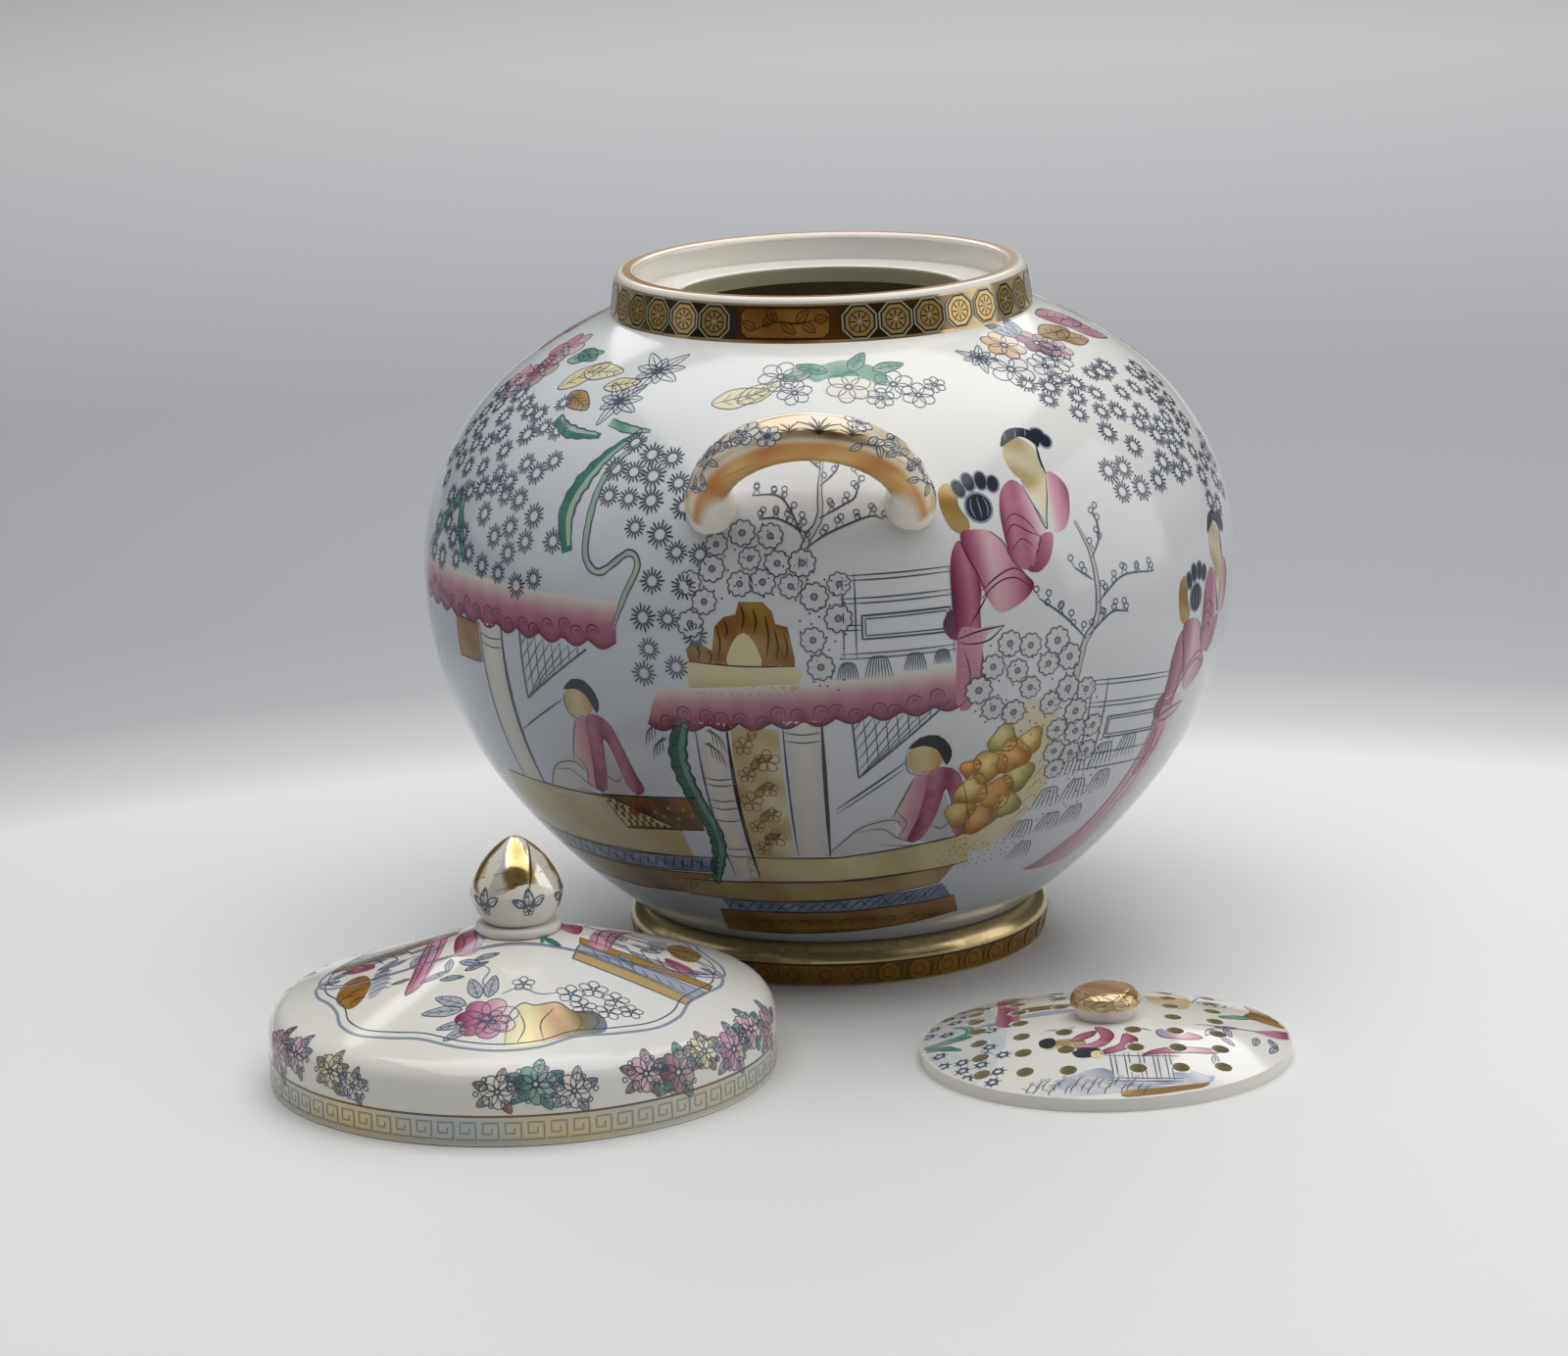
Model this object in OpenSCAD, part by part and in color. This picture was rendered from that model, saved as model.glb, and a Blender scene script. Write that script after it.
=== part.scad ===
// Lidded potpourri vase: a footed globular bowl with a short neck, two loop handles,
// a pierced inner plate and a domed outer cover, both covers taken off and set on the table.
// Millimetres, +Z up. The origin is on the vase's axis at the table; -Y is the front.

/* [Bowl] */
// Largest outside diameter of the bowl
belly_d = 278; // [260:0.5:300]
// Height of the largest circle above the table
belly_z = 133.5; // [128:0.5:140]
// Radius of the profile just above the largest circle
upper_r = 85.5; // [80:0.5:90]
// How far the upper arc turns before it runs into the shoulder, in degrees
upper_turn = 54; // [50:1:58]
// Radius of the flatter shoulder arc below the neck
shoulder_r = 150; // [130:1:170]
// Radius of the profile just below the largest circle
lower_r = 122; // [116:0.5:128]
// How far the lower arc turns before it runs into the flank, in degrees
lower_turn = 36; // [32:1:40]
// Radius of the long flank arc above the foot
flank_r = 205; // [190:1:220]
// Thickness of the bowl's wall
bowl_wall = 5.5; // [4:0.1:7]
// Thickness of the bowl's floor
floor_t = 7; // [5:0.1:10]

/* [Neck] */
// Outside diameter where the neck stands on the shoulder
neck_base_d = 144; // [138:0.5:148]
// Outside diameter at the rim
rim_d = 140; // [134:0.5:144]
// Height of the neck from the shoulder to the rim
neck_h = 14.7; // [13:0.1:18]
// Thickness of the neck's wall
neck_wall = 7; // [5:0.1:8]
// How far the ledge lies below the rim
ledge_depth = 9; // [8:0.1:10]
// How far the ledge reaches inwards from the neck's wall
ledge_w = 14; // [11:0.1:16]
// Rounding of the rim
rim_round = 2; // [1:0.1:2.4]

/* [Foot] */
// How far the foot's rounded shoulder stands out from the bowl
foot_bulge = 5.9; // [4:0.1:8]
// Height of the foot ring
foot_h = 14; // [11:0.5:16]
// How far the foot draws in from its shoulder down to the table
foot_taper = 1.5; // [0.5:0.1:2.5]
// Width of the flat face that rests on the table
foot_rest_w = 7; // [5:0.1:9]
// Width of the ring where it joins the bowl
foot_joint_w = 8.5; // [7:0.1:10]

/* [Handles] */
// Turn of the pair of handles about the axis, in degrees
handle_turn = -2.5; // [-10:0.5:10]
// Height above the belly at which the ring's plane meets the bowl
handle_rise = 42.5; // [38.5:0.5:46.5]
// Radius of the ring along the middle of its strap
ring_r = 33; // [30:0.5:35]
// How far the ring's middle lies outside the bowl, in the ring's own plane
ring_rise = 3.4; // [2:0.1:6]
// Lean of the ring away from the bowl, in degrees
handle_lean = 40; // [36:1:44]
// Width of the strap, across the ring
strap_w = 15; // [13:0.5:17]
// Thickness of the strap, in the plane of the ring
strap_t = 13; // [11:0.5:15]
// Share of the strap's thickness that lies outside its ridge
ridge_share = 0.6; // [0.5:0.02:0.7]
// Turn of the strap that brings its ridge to the front, in degrees
ridge_turn = 28; // [20:1:34]

/* [Outer cover] */
// Gap between the neck and the cover's skirt
cover_gap = 4.8; // [2:0.1:7]
// Thickness of the cover's wall
cover_wall = 5; // [4:0.1:6]
// Height of the cover's upright skirt
skirt_h = 17; // [14:0.5:20]
// Rounding between the skirt and the dome
shoulder_round = 9; // [7:0.5:11]
// Rise of the dome from its shoulder, in degrees
dome_slope = 19; // [15:0.5:22]
// Place of the cover's middle, to the side of the vase
cover_x = -103.5; // [-112:0.5:-100]
// Place of the cover's middle, before the vase
cover_y = -154; // [-165:0.5:-150]

/* [Cover finial] */
// Diameter of the collar below the bud
collar_d = 28; // [26:0.5:34]
// Height of the collar
collar_h = 3.2; // [3:0.1:5]
// Largest diameter of the bud
bud_d = 29.6; // [27:0.2:32]
// Diameter of the bud where it stands on its collar
bud_base_d = 20; // [17:0.5:23]
// Height of the bud's rounded lower half
bud_low_h = 10.8; // [9:0.2:13]
// Height of the bud's pointed upper half
bud_top_h = 19; // [17:0.5:22]
// How far the side of the pointed half swells past a straight cone
bud_swell = 2; // [1:0.1:2.6]
// Rounding of the bud's tip
tip_r = 2.4; // [1.5:0.1:3]

/* [Pierced plate] */
// Gap all round between the plate and the neck
plate_gap = 3.2; // [1:0.1:4]
// Height of the plate's upright edge
plate_edge = 4.3; // [3.5:0.1:5]
// Thickness of the plate's domed middle
plate_t = 4.3; // [3.5:0.1:5]
// Rise of the plate's domed top above its edge
plate_rise = 9.2; // [6:0.1:11]
// Width of the flat rim below, which lies on the neck's ledge
plate_seat = 6; // [4:0.5:8]
// Diameter of a hole
hole_d = 5.6; // [4:0.1:7]
// Distance between the rows of holes
hole_row = 14.2; // [13:0.2:15]
// Distance between the holes of a row
hole_pitch = 13.6; // [12:0.2:14]
// Distance from the middle line to the first hole of a row
hole_start = 11; // [9:0.5:12]
// Shift of all the holes to the side
hole_shift = -3; // [-4:0.5:4]
// Share by which a row draws in where it nears the plate's edge
hole_bow = 0.35; // [0.3:0.01:0.45]
// Place of the plate's middle, to the side of the vase
plate_x = 84.6; // [80:0.2:100]
// Place of the plate's middle, before the vase
plate_y = -158.5; // [-170:0.5:-155]

/* [Plate knob] */
// Largest diameter of the knob
knob_d = 22.8; // [20:0.2:25]
// Diameter of the knob where it stands on the plate
knob_base_d = 17.6; // [15:0.2:19]
// Height of the knob above the middle of the plate
knob_h = 10.2; // [9.5:0.1:15]
// Rounding of the knob's upper edge
knob_round = 4.5; // [3:0.1:5]
// Rise of the knob's top within its rounded edge
knob_crown = 0.6; // [0.3:0.1:1]

/* [Hidden] */
$fn = 96;

glaze = "#f2efe8";
gilding = "#b08a3c";

belly_r = belly_d / 2;
far = 2 * flank_r + belly_d;

// A point at a distance and an angle from another
function polar(c, r, a) = [c[0] + r * cos(a), c[1] + r * sin(a)];

// Height of a circle of radius r about c at the distance x from the axis
function arc_z(c, r, x) = c[1] + sqrt(r * r - (x - c[0]) * (x - c[0]));

// Distance from the axis of a circle of radius r about c at the height z
function arc_x(c, r, z) = c[0] + sqrt(r * r - (z - c[1]) * (z - c[1]));

// Radius of the arc that rises by some height over half of its chord
function cap_r(half, rise) = (half * half + rise * rise) / (2 * rise);

// Centre of the arc that swells from the straight line between two points
function swell_c(p, q, swell) =
    let (d = q - p, l = norm(d), r = cap_r(l / 2, swell))
    (p + q) / 2 - (r - swell) * [d[1], -d[0]] / l;

// Centres of the bowl's four arcs, each tangent to the next
upper_c = [belly_r - upper_r, belly_z];
shoulder_c = polar(upper_c, upper_r - shoulder_r, upper_turn);
lower_c = [belly_r - lower_r, belly_z];
flank_c = polar(lower_c, lower_r - flank_r, -lower_turn);

neck_z = arc_z(shoulder_c, shoulder_r, neck_base_d / 2);
rim_z = neck_z + neck_h;
neck_bore_r = rim_d / 2 - neck_wall;
mouth_r = neck_bore_r - ledge_w;
ledge_z = rim_z - ledge_depth;

foot_joint_r = arc_x(flank_c, flank_r, foot_h);
foot_r = foot_joint_r + foot_bulge;
foot_rest_r = foot_r - foot_taper;

handle_z = belly_z + handle_rise;
// Distance from the axis to the line between the ends of a handle
handle_y = sqrt(pow(arc_x(upper_c, upper_r, handle_z), 2) - pow(ring_r, 2));

cover_bore_r = neck_base_d / 2 + cover_gap;
cover_r = cover_bore_r + cover_wall;
dome_c = [cover_r - shoulder_round, skirt_h];
dome_turn = 90 - dome_slope;
dome_edge = polar(dome_c, shoulder_round, dome_turn);
collar_z = dome_edge[1] + (dome_edge[0] - collar_d / 2) * tan(dome_slope);

bud_r = bud_d / 2;
bud_base_z = collar_z + collar_h;
bud_z = bud_base_z + bud_low_h;
tip_z = bud_z + bud_top_h;
bud_low_r = (pow(bud_r - bud_base_d / 2, 2) + pow(bud_low_h, 2)) / (bud_d - bud_base_d);
bud_side = [[bud_r, bud_z], [tip_r, tip_z - tip_r]];

plate_r = neck_bore_r - plate_gap;
plate_dome_r = cap_r(plate_r, plate_rise);
plate_c = [0, plate_edge + plate_rise - plate_dome_r];
plate_top = plate_edge + plate_rise;
hole_rows = [-3:3];
hole_columns = [0:2];
hole_keep = knob_base_d / 2 + hole_d;

// The part of a disc between two heights, filled in from the axis to the disc's middle
module disc_band(c, r, z_low, z_high) {
    intersection() {
        union() {
            translate(c) circle(r);
            if (c[0] > 0) translate([0, c[1] - r]) square([c[0], 2 * r]);
        }
        translate([0, z_low]) square([far, z_high - z_low]);
    }
}

// The bowl's outline, inset by a wall, between two heights
module bowl_outline(inset, z_low, z_high) {
    flank_z = polar(flank_c, flank_r - inset, -lower_turn)[1];
    shoulder_z = polar(shoulder_c, shoulder_r - inset, upper_turn)[1];
    disc_band(flank_c, flank_r - inset, z_low, flank_z);
    disc_band(lower_c, lower_r - inset, flank_z, belly_z);
    disc_band(upper_c, upper_r - inset, belly_z, shoulder_z);
    disc_band(shoulder_c, shoulder_r - inset, shoulder_z, z_high);
}

module bowl() {
    color(glaze)
    rotate_extrude()
    difference() {
        bowl_outline(0, foot_h, neck_z);
        bowl_outline(bowl_wall, foot_h + floor_t, neck_z + bowl_wall);
    }
}

// Neck with the ledge that carries the pierced plate
module neck_ring() {
    rim_r = rim_d / 2;
    round_z = rim_z - rim_round;
    color(gilding)
    rotate_extrude() {
        polygon([
            [mouth_r, neck_z],
            [neck_base_d / 2, neck_z],
            [rim_r, round_z],
            [neck_bore_r, round_z],
            [neck_bore_r, ledge_z],
            [mouth_r, ledge_z]
        ]);
        translate([neck_bore_r + rim_round, round_z]) circle(rim_round);
        translate([rim_r - rim_round, round_z]) circle(rim_round);
        translate([neck_bore_r + rim_round, round_z]) square([neck_wall - 2 * rim_round, rim_round]);
    }
}

// Foot with a rounded shoulder below the bowl and a flat face to rest on
module foot_ring() {
    bulge_z = foot_h - foot_bulge;
    color(gilding)
    rotate_extrude() {
        polygon([
            [foot_rest_r - foot_rest_w, 0],
            [foot_rest_r, 0],
            [foot_r, bulge_z],
            [foot_joint_r, bulge_z],
            [foot_joint_r, foot_h],
            [foot_joint_r - foot_joint_w, foot_h]
        ]);
        translate([foot_joint_r, bulge_z])
            intersection() {
                circle(foot_bulge);
                square(foot_bulge);
            }
    }
}

// Section of a handle's strap, with a ridge along its front and its back
module strap_section() {
    half_w = strap_w / 2;
    outer_t = strap_t * ridge_share;
    inner_t = strap_t - outer_t;
    strap_half(half_w, outer_t);
    mirror([1, 0]) strap_half(half_w, inner_t);
}

// One side of the strap: the segment of a circle over the ridge line
module strap_half(half_w, rise) {
    r = cap_r(half_w, rise);
    intersection() {
        translate([rise - r, 0]) circle(r);
        translate([0, -half_w]) square([rise, strap_w]);
    }
}

// The part of a leaning ring that stands out of the bowl, cut to lie on it
module handle() {
    color(gilding)
    difference() {
        translate([0, -handle_y, handle_z])
            rotate([90 + handle_lean, 0, 0])
            translate([0, ring_rise, 0])
            rotate_extrude()
            translate([ring_r, 0])
            rotate(-ridge_turn) strap_section();
        rotate_extrude() bowl_outline(0, foot_h, neck_z);
    }
}

module front_handle() {
    rotate(handle_turn) handle();
}

module rear_handle() {
    rotate(handle_turn + 180) handle();
}

// The cover's outline, inset by a wall: upright skirt, rounded shoulder, sloping dome
module cover_outline(inset) {
    r = shoulder_round - inset;
    edge = polar(dome_c, r, dome_turn);
    top = edge[1] + edge[0] * tan(dome_slope);
    square([cover_r - inset, skirt_h]);
    disc_band(dome_c, r, skirt_h, edge[1]);
    polygon([[0, skirt_h], [dome_c[0], skirt_h], edge, [0, top]]);
}

module cover_dome() {
    color(glaze)
    translate([cover_x, cover_y, 0])
    rotate_extrude()
    intersection() {
        difference() {
            cover_outline(0);
            cover_outline(cover_wall);
        }
        square([cover_r, collar_z]);
    }
}

// Pointed bud on a rounded collar
module cover_finial() {
    side_c = swell_c(bud_side[0], bud_side[1], bud_swell);
    color(glaze)
    translate([cover_x, cover_y, 0])
    rotate_extrude() {
        translate([0, collar_z]) square([(collar_d - collar_h) / 2, collar_h]);
        translate([(collar_d - collar_h) / 2, collar_z + collar_h / 2]) circle(d = collar_h);
        disc_band([bud_r - bud_low_r, bud_z], bud_low_r, bud_base_z, bud_z);
        disc_band(side_c, norm(bud_side[0] - side_c), bud_z, bud_side[1][1]);
        disc_band([0, tip_z - tip_r], tip_r, tip_z - tip_r, tip_z);
    }
}

// The plate's domed outline, solid down to the table
module plate_outline() {
    intersection() {
        translate(plate_c) circle(plate_dome_r);
        square([plate_r, plate_top]);
    }
}

// Domed plate with rows of holes, hollow below within its flat rim
module pierced_plate() {
    color(glaze)
    translate([plate_x, plate_y, 0])
    difference() {
        rotate_extrude()
        difference() {
            plate_outline();
            intersection() {
                translate(plate_c) circle(plate_dome_r - plate_t);
                square([plate_r - plate_seat, plate_top]);
            }
        }
        for (row = hole_rows, column = hole_columns, side = [-1, 1]) {
            x = hole_shift + side * (hole_start + column * hole_pitch);
            y = row * hole_row * (1 - hole_bow * pow(x / plate_r, 2));
            if (norm([x, y]) > hole_keep)
                translate([x, y, 0]) cylinder(d = hole_d, h = plate_top);
        }
    }
}

// Button knob, widest below its rounded top, seated on the plate's dome
module plate_knob() {
    knob_r = knob_d / 2;
    edge_z = plate_top + knob_h - knob_crown - knob_round;
    crown_half = knob_r - knob_round;
    crown_cap_r = cap_r(crown_half, knob_crown);
    color(gilding)
    translate([plate_x, plate_y, 0])
    rotate_extrude()
    difference() {
        union() {
            polygon([
                [0, plate_edge],
                [knob_base_d / 2, plate_edge],
                [knob_base_d / 2, plate_top],
                [knob_r, edge_z],
                [0, edge_z]
            ]);
            disc_band([crown_half, edge_z], knob_round, edge_z, edge_z + knob_round);
            translate([0, edge_z]) square([crown_half, knob_round]);
            disc_band(
                [0, plate_top + knob_h - crown_cap_r], crown_cap_r, edge_z + knob_round, plate_top + knob_h
            );
        }
        plate_outline();
    }
}

bowl();
neck_ring();
foot_ring();
front_handle();
rear_handle();
cover_dome();
cover_finial();
pierced_plate();
plate_knob();
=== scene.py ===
"""Looks of a potpourri vase: lathe-turned porcelain with printed, enamelled and gilt decoration."""

import random
from math import asin, atan2, ceil, cos, degrees, dist, hypot, pi, radians, sin, sqrt, tan

import bpy
from mathutils import Matrix, Vector
from mathutils.geometry import delaunay_2d_cdt


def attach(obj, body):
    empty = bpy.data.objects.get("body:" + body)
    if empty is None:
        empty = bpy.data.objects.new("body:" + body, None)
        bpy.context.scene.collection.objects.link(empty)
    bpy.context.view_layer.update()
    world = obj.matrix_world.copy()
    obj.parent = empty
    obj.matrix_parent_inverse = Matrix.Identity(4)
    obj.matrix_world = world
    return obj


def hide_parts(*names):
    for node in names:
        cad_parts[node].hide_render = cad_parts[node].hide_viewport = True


bl_info = {
    "name": "Potpourri Vase",
    "version": (1, 0, 0),
    "blender": (4, 5, 0),
    "location": "3D View > Sidebar > Vase",
    "description": "Builds the glazed, printed and gilt pieces of a potpourri vase",
    "category": "Add Mesh",
}

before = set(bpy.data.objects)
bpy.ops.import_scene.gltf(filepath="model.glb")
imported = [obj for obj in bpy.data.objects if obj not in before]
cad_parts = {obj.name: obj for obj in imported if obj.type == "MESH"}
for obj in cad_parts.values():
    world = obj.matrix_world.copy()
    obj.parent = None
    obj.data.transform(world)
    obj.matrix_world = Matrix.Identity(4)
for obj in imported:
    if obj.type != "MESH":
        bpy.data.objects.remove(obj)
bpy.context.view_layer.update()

MM = 0.001
TURN = 2 * pi
UP = (0.0, 0.0, 1.0)
# How far bands, washes and lines of print stand off the glaze, and the step along a line, in millimetres.
BAND_LIFT = 0.03
WASH_LIFT = 0.05
LINE_LIFT = 0.11
LINE_STEP = 1.3
# Heights in metres between which the painted shade on the bowl's glaze and print runs from its darkest to its
# lightest.
PAINTED_SHADE_LOW, PAINTED_SHADE_HIGH = 0.02, 0.21
# Rounding of the neck's rim, of its ledge and of the foot's lower edge, in millimetres.
RIM_ROUND, LEDGE_ROUND, FOOT_ROUND = 2.0, 1.0, 0.6
# A point of an outline that is nearer to the axis than this is on it.
ON_AXIS = 1e-4


def linear(code):
    """Scene-linear colour of a six-digit hex code."""
    parts = [int(code[i : i + 2], 16) / 255 for i in (0, 2, 4)]
    return tuple(c / 12.92 if c <= 0.04045 else ((c + 0.055) / 1.055) ** 2.4 for c in parts)


def blend(a, b, t):
    """The colour that lies the share t of the way from a to b."""
    t = min(max(t, 0.0), 1.0)
    return tuple(p + (q - p) * t for p, q in zip(a, b))


def in_mm(name, default, text):
    return bpy.props.FloatProperty(name=name, description=text + ", in millimetres", default=default)


def in_degrees(name, default, text):
    return bpy.props.FloatProperty(name=name, description=text + ", in degrees", default=default)


def colour_property(name, code, text):
    return bpy.props.FloatVectorProperty(
        name=name, description=text, subtype="COLOR", size=3, min=0.0, max=1.0, default=linear(code)
    )


class VaseSizes(bpy.types.PropertyGroup):
    """Sizes in millimetres and degrees, as in the part's source."""

    belly_r: in_mm("Belly radius", 139.0, "Bowl at its widest")
    belly_z: in_mm("Belly height", 133.5, "Widest part above the table")
    upper_r: in_mm("Upper arc", 85.5, "Arc above the belly")
    upper_turn: in_degrees("Upper turn", 54.0, "Span of the arc above the belly")
    shoulder_r: in_mm("Shoulder arc", 150.0, "Arc that ends at the neck")
    lower_r: in_mm("Lower arc", 122.0, "Arc below the belly")
    lower_turn: in_degrees("Lower turn", 36.0, "Span of the arc below the belly")
    flank_r: in_mm("Flank arc", 205.0, "Arc that ends at the foot")
    bowl_wall: in_mm("Bowl wall", 5.5, "Thickness of the bowl's wall")
    floor_t: in_mm("Bowl floor", 7.0, "Thickness of the bowl's floor")
    neck_base_r: in_mm("Neck base radius", 72.0, "Neck where it leaves the bowl")
    rim_r: in_mm("Rim radius", 70.0, "Outside of the neck at its rim")
    neck_h: in_mm("Neck height", 14.7, "Neck from the bowl to its rim")
    neck_bore_r: in_mm("Neck bore radius", 63.0, "Inside of the neck above its ledge")
    mouth_r: in_mm("Mouth radius", 49.0, "Opening within the ledge")
    ledge_depth: in_mm("Ledge depth", 9.0, "Ledge below the rim")
    foot_r: in_mm("Foot radius", 72.8, "Foot at its widest")
    foot_h: in_mm("Foot height", 14.0, "Foot from the table to the bowl")
    foot_rest_r: in_mm("Foot rest radius", 71.3, "Foot where it stands")
    handle_turn: in_degrees("Handle turn", -2.5, "Front handle round the bowl")
    handle_z: in_mm("Handle height", 176.0, "Handle where it meets the bowl")
    ring_r: in_mm("Handle ring radius", 33.0, "Middle line of the handle's ring")
    ring_rise: in_mm("Handle ring rise", 3.4, "Middle of the ring out from the bowl")
    handle_lean: in_degrees("Handle lean", 40.0, "Handle out of upright")
    cover_x: in_mm("Cover across", -103.5, "Outer cover to the right of the vase's axis")
    cover_y: in_mm("Cover behind", -154.0, "Outer cover behind the vase's axis")
    cover_r: in_mm("Cover radius", 81.8, "Outside of the cover's skirt")
    cover_wall: in_mm("Cover wall", 5.0, "Thickness of the cover")
    skirt_h: in_mm("Skirt height", 17.0, "Upright part of the cover")
    cover_round: in_mm("Cover shoulder", 9.0, "Rounding above the skirt")
    dome_slope: in_degrees("Dome slope", 19.0, "Slope of the cover's top")
    collar_r: in_mm("Collar radius", 14.0, "Collar below the bud")
    collar_h: in_mm("Collar height", 3.2, "Collar below the bud")
    bud_r: in_mm("Bud radius", 14.8, "Bud at its widest")
    bud_base_r: in_mm("Bud base radius", 10.0, "Bud on its collar")
    bud_low_h: in_mm("Bud lower height", 10.8, "Bud below its widest part")
    bud_top_h: in_mm("Bud upper height", 19.0, "Bud above its widest part")
    bud_swell: in_mm("Bud swell", 2.0, "Upper side of the bud out from straight")
    tip_r: in_mm("Bud tip", 2.4, "Rounding of the bud's point")
    plate_x: in_mm("Plate across", 84.6, "Pierced plate to the right of the vase's axis")
    plate_y: in_mm("Plate behind", -158.5, "Pierced plate behind the vase's axis")
    plate_r: in_mm("Plate radius", 59.8, "Outside of the plate")
    plate_edge: in_mm("Plate edge", 4.3, "Upright edge of the plate")
    plate_rise: in_mm("Plate rise", 9.2, "Plate's middle above its edge")
    hole_r: in_mm("Hole radius", 2.8, "Holes of the plate")
    hole_row: in_mm("Hole rows", 14.2, "Step from row to row of holes")
    hole_pitch: in_mm("Hole pitch", 13.6, "Step from hole to hole in a row")
    hole_start: in_mm("Hole start", 11.0, "First hole from a row's middle")
    hole_shift: in_mm("Hole shift", -3.0, "Holes to the right of the plate's middle")
    hole_bow: bpy.props.FloatProperty(
        name="Hole bow", description="How far the rows draw in at the plate's edge", default=0.35,
        subtype="FACTOR"
    )
    knob_r: in_mm("Knob radius", 11.4, "Knob at its widest")
    knob_base_r: in_mm("Knob base radius", 8.8, "Knob on the plate")
    knob_h: in_mm("Knob height", 10.2, "Knob above the plate")
    knob_round: in_mm("Knob rounding", 4.5, "Upper edge of the knob")


class VaseColours(bpy.types.PropertyGroup):
    """Glaze, print, enamel and gilding colours."""

    glaze: colour_property("Glaze", "ebe6db", "White glaze of every piece")
    ink: colour_property("Print", "525b70", "Blue-grey lines of the print")
    pink: colour_property("Pink enamel", "c27f98", "Robes, roofs and flowers")
    crimson: colour_property("Deep pink enamel", "85264a", "Folds, eaves and flowers")
    teal: colour_property("Green enamel", "3a9079", "Trees and leaves")
    ochre: colour_property("Ochre enamel", "a98540", "Floors, rocks and leaves")
    gold: colour_property("Gilding", "dcc894", "Gold leaf of the foot")
    brown: colour_property("Brown ground", "3a2a18", "Ground and lines of the gilt bands")


class Outline:
    """A lathe outline of arcs (cr, cz, radius, from, to) and lines (r, z, r, z), run up its outer side."""

    def __init__(self, parts):
        self.parts = []
        self.length = 0.0
        for part in parts:
            if len(part) == 5:
                size = part[2] * radians(abs(part[4] - part[3]))
            else:
                size = hypot(part[2] - part[0], part[3] - part[1])
            self.parts.append((self.length, size, part))
            self.length += size

    def at(self, s):
        """Radius, height and outward direction at the length s."""
        start, size, part = self.parts[0]
        for row in self.parts:
            if s >= row[0]:
                start, size, part = row
        if len(part) == 5:
            way = 1 if part[4] > part[3] else -1
            a = radians(part[3]) + way * (s - start) / part[2]
            c, d = cos(a), sin(a)
            return part[0] + part[2] * c, part[1] + part[2] * d, way * c, way * d
        dr, dz = (part[2] - part[0]) / size, (part[3] - part[1]) / size
        return part[0] + dr * (s - start), part[1] + dz * (s - start), dz, -dr

    def points(self, step):
        """Points (r, z) along the outline, with each part's ends among them."""
        found = []
        for start, size, part in self.parts:
            count = max(1, ceil(size / step) if len(part) == 5 else int(size / (4 * step)))
            for i in range(count):
                found.append(self.at(start + 1e-6 + (size - 2e-6) * i / count)[:2])
        found.append(self.at(self.length - 1e-6)[:2])
        return found


class Skin:
    """A turned surface to draw on: x runs round it in millimetres at the radius r0, s up its outline."""

    def __init__(self, outline, r0, cx=0.0, cy=0.0):
        self.outline, self.r0, self.cx, self.cy = outline, r0, cx, cy

    def place(self, x, s, lift):
        r, z, nr, nz = self.outline.at(s)
        r, z, a = r + nr * lift, z + nz * lift, x / self.r0
        return (self.cx + r * sin(a)) * MM, (self.cy - r * cos(a)) * MM, z * MM

    def facing(self, x, s):
        nr, nz = self.outline.at(s)[2:]
        a = x / self.r0
        return Vector((nr * sin(a), -nr * cos(a), nz))

    def stretch(self, s):
        return self.r0 / max(self.outline.at(s)[0], 1.0)


class PlanSkin(Skin):
    """A round-topped surface seen from above, drawn on in plain x and y about its middle."""

    def place(self, x, y, lift):
        r = hypot(x, y)
        z, nz = self.outline(r)
        nr = sqrt(max(0.0, 1 - nz * nz))
        k = (r + nr * lift) / r if r > 1e-6 else 1.0
        return (self.cx + x * k) * MM, (self.cy + y * k) * MM, (z + nz * lift) * MM

    def stretch(self, s):
        return 1.0


def even(points, step, closed=False, smooth=True):
    """Points at an even step along a polyline, or along the smooth curve through its corners."""
    pts = [Vector(p[:2]) for p in points]
    if closed:
        pts = [pts[-1]] + pts + pts[:2]
    else:
        pts = [2 * pts[0] - pts[1]] + pts + [2 * pts[-1] - pts[-2]]
    out = []
    for i in range(1, len(pts) - 2):
        p0, p1, p2, p3 = pts[i - 1 : i + 3]
        count = max(1, int(ceil((p2 - p1).length / step)))
        for k in range(count):
            t = k / count
            if smooth:
                a = 2 * p1 + t * (p2 - p0)
                a += t * t * (2 * p0 - 5 * p1 + 4 * p2 - p3)
                a += t * t * t * (3 * p1 - p0 - 3 * p2 + p3)
                out.append(a / 2)
            else:
                out.append(p1.lerp(p2, t))
    if not closed:
        out.append(pts[-2].copy())
    return out


def inside(p, ring):
    """Whether a point lies within a closed outline."""
    hit = False
    for i, a in enumerate(ring):
        b = ring[i - 1]
        if (a.y > p.y) != (b.y > p.y) and p.x < (b.x - a.x) * (p.y - a.y) / (b.y - a.y) + a.x:
            hit = not hit
    return hit


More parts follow.
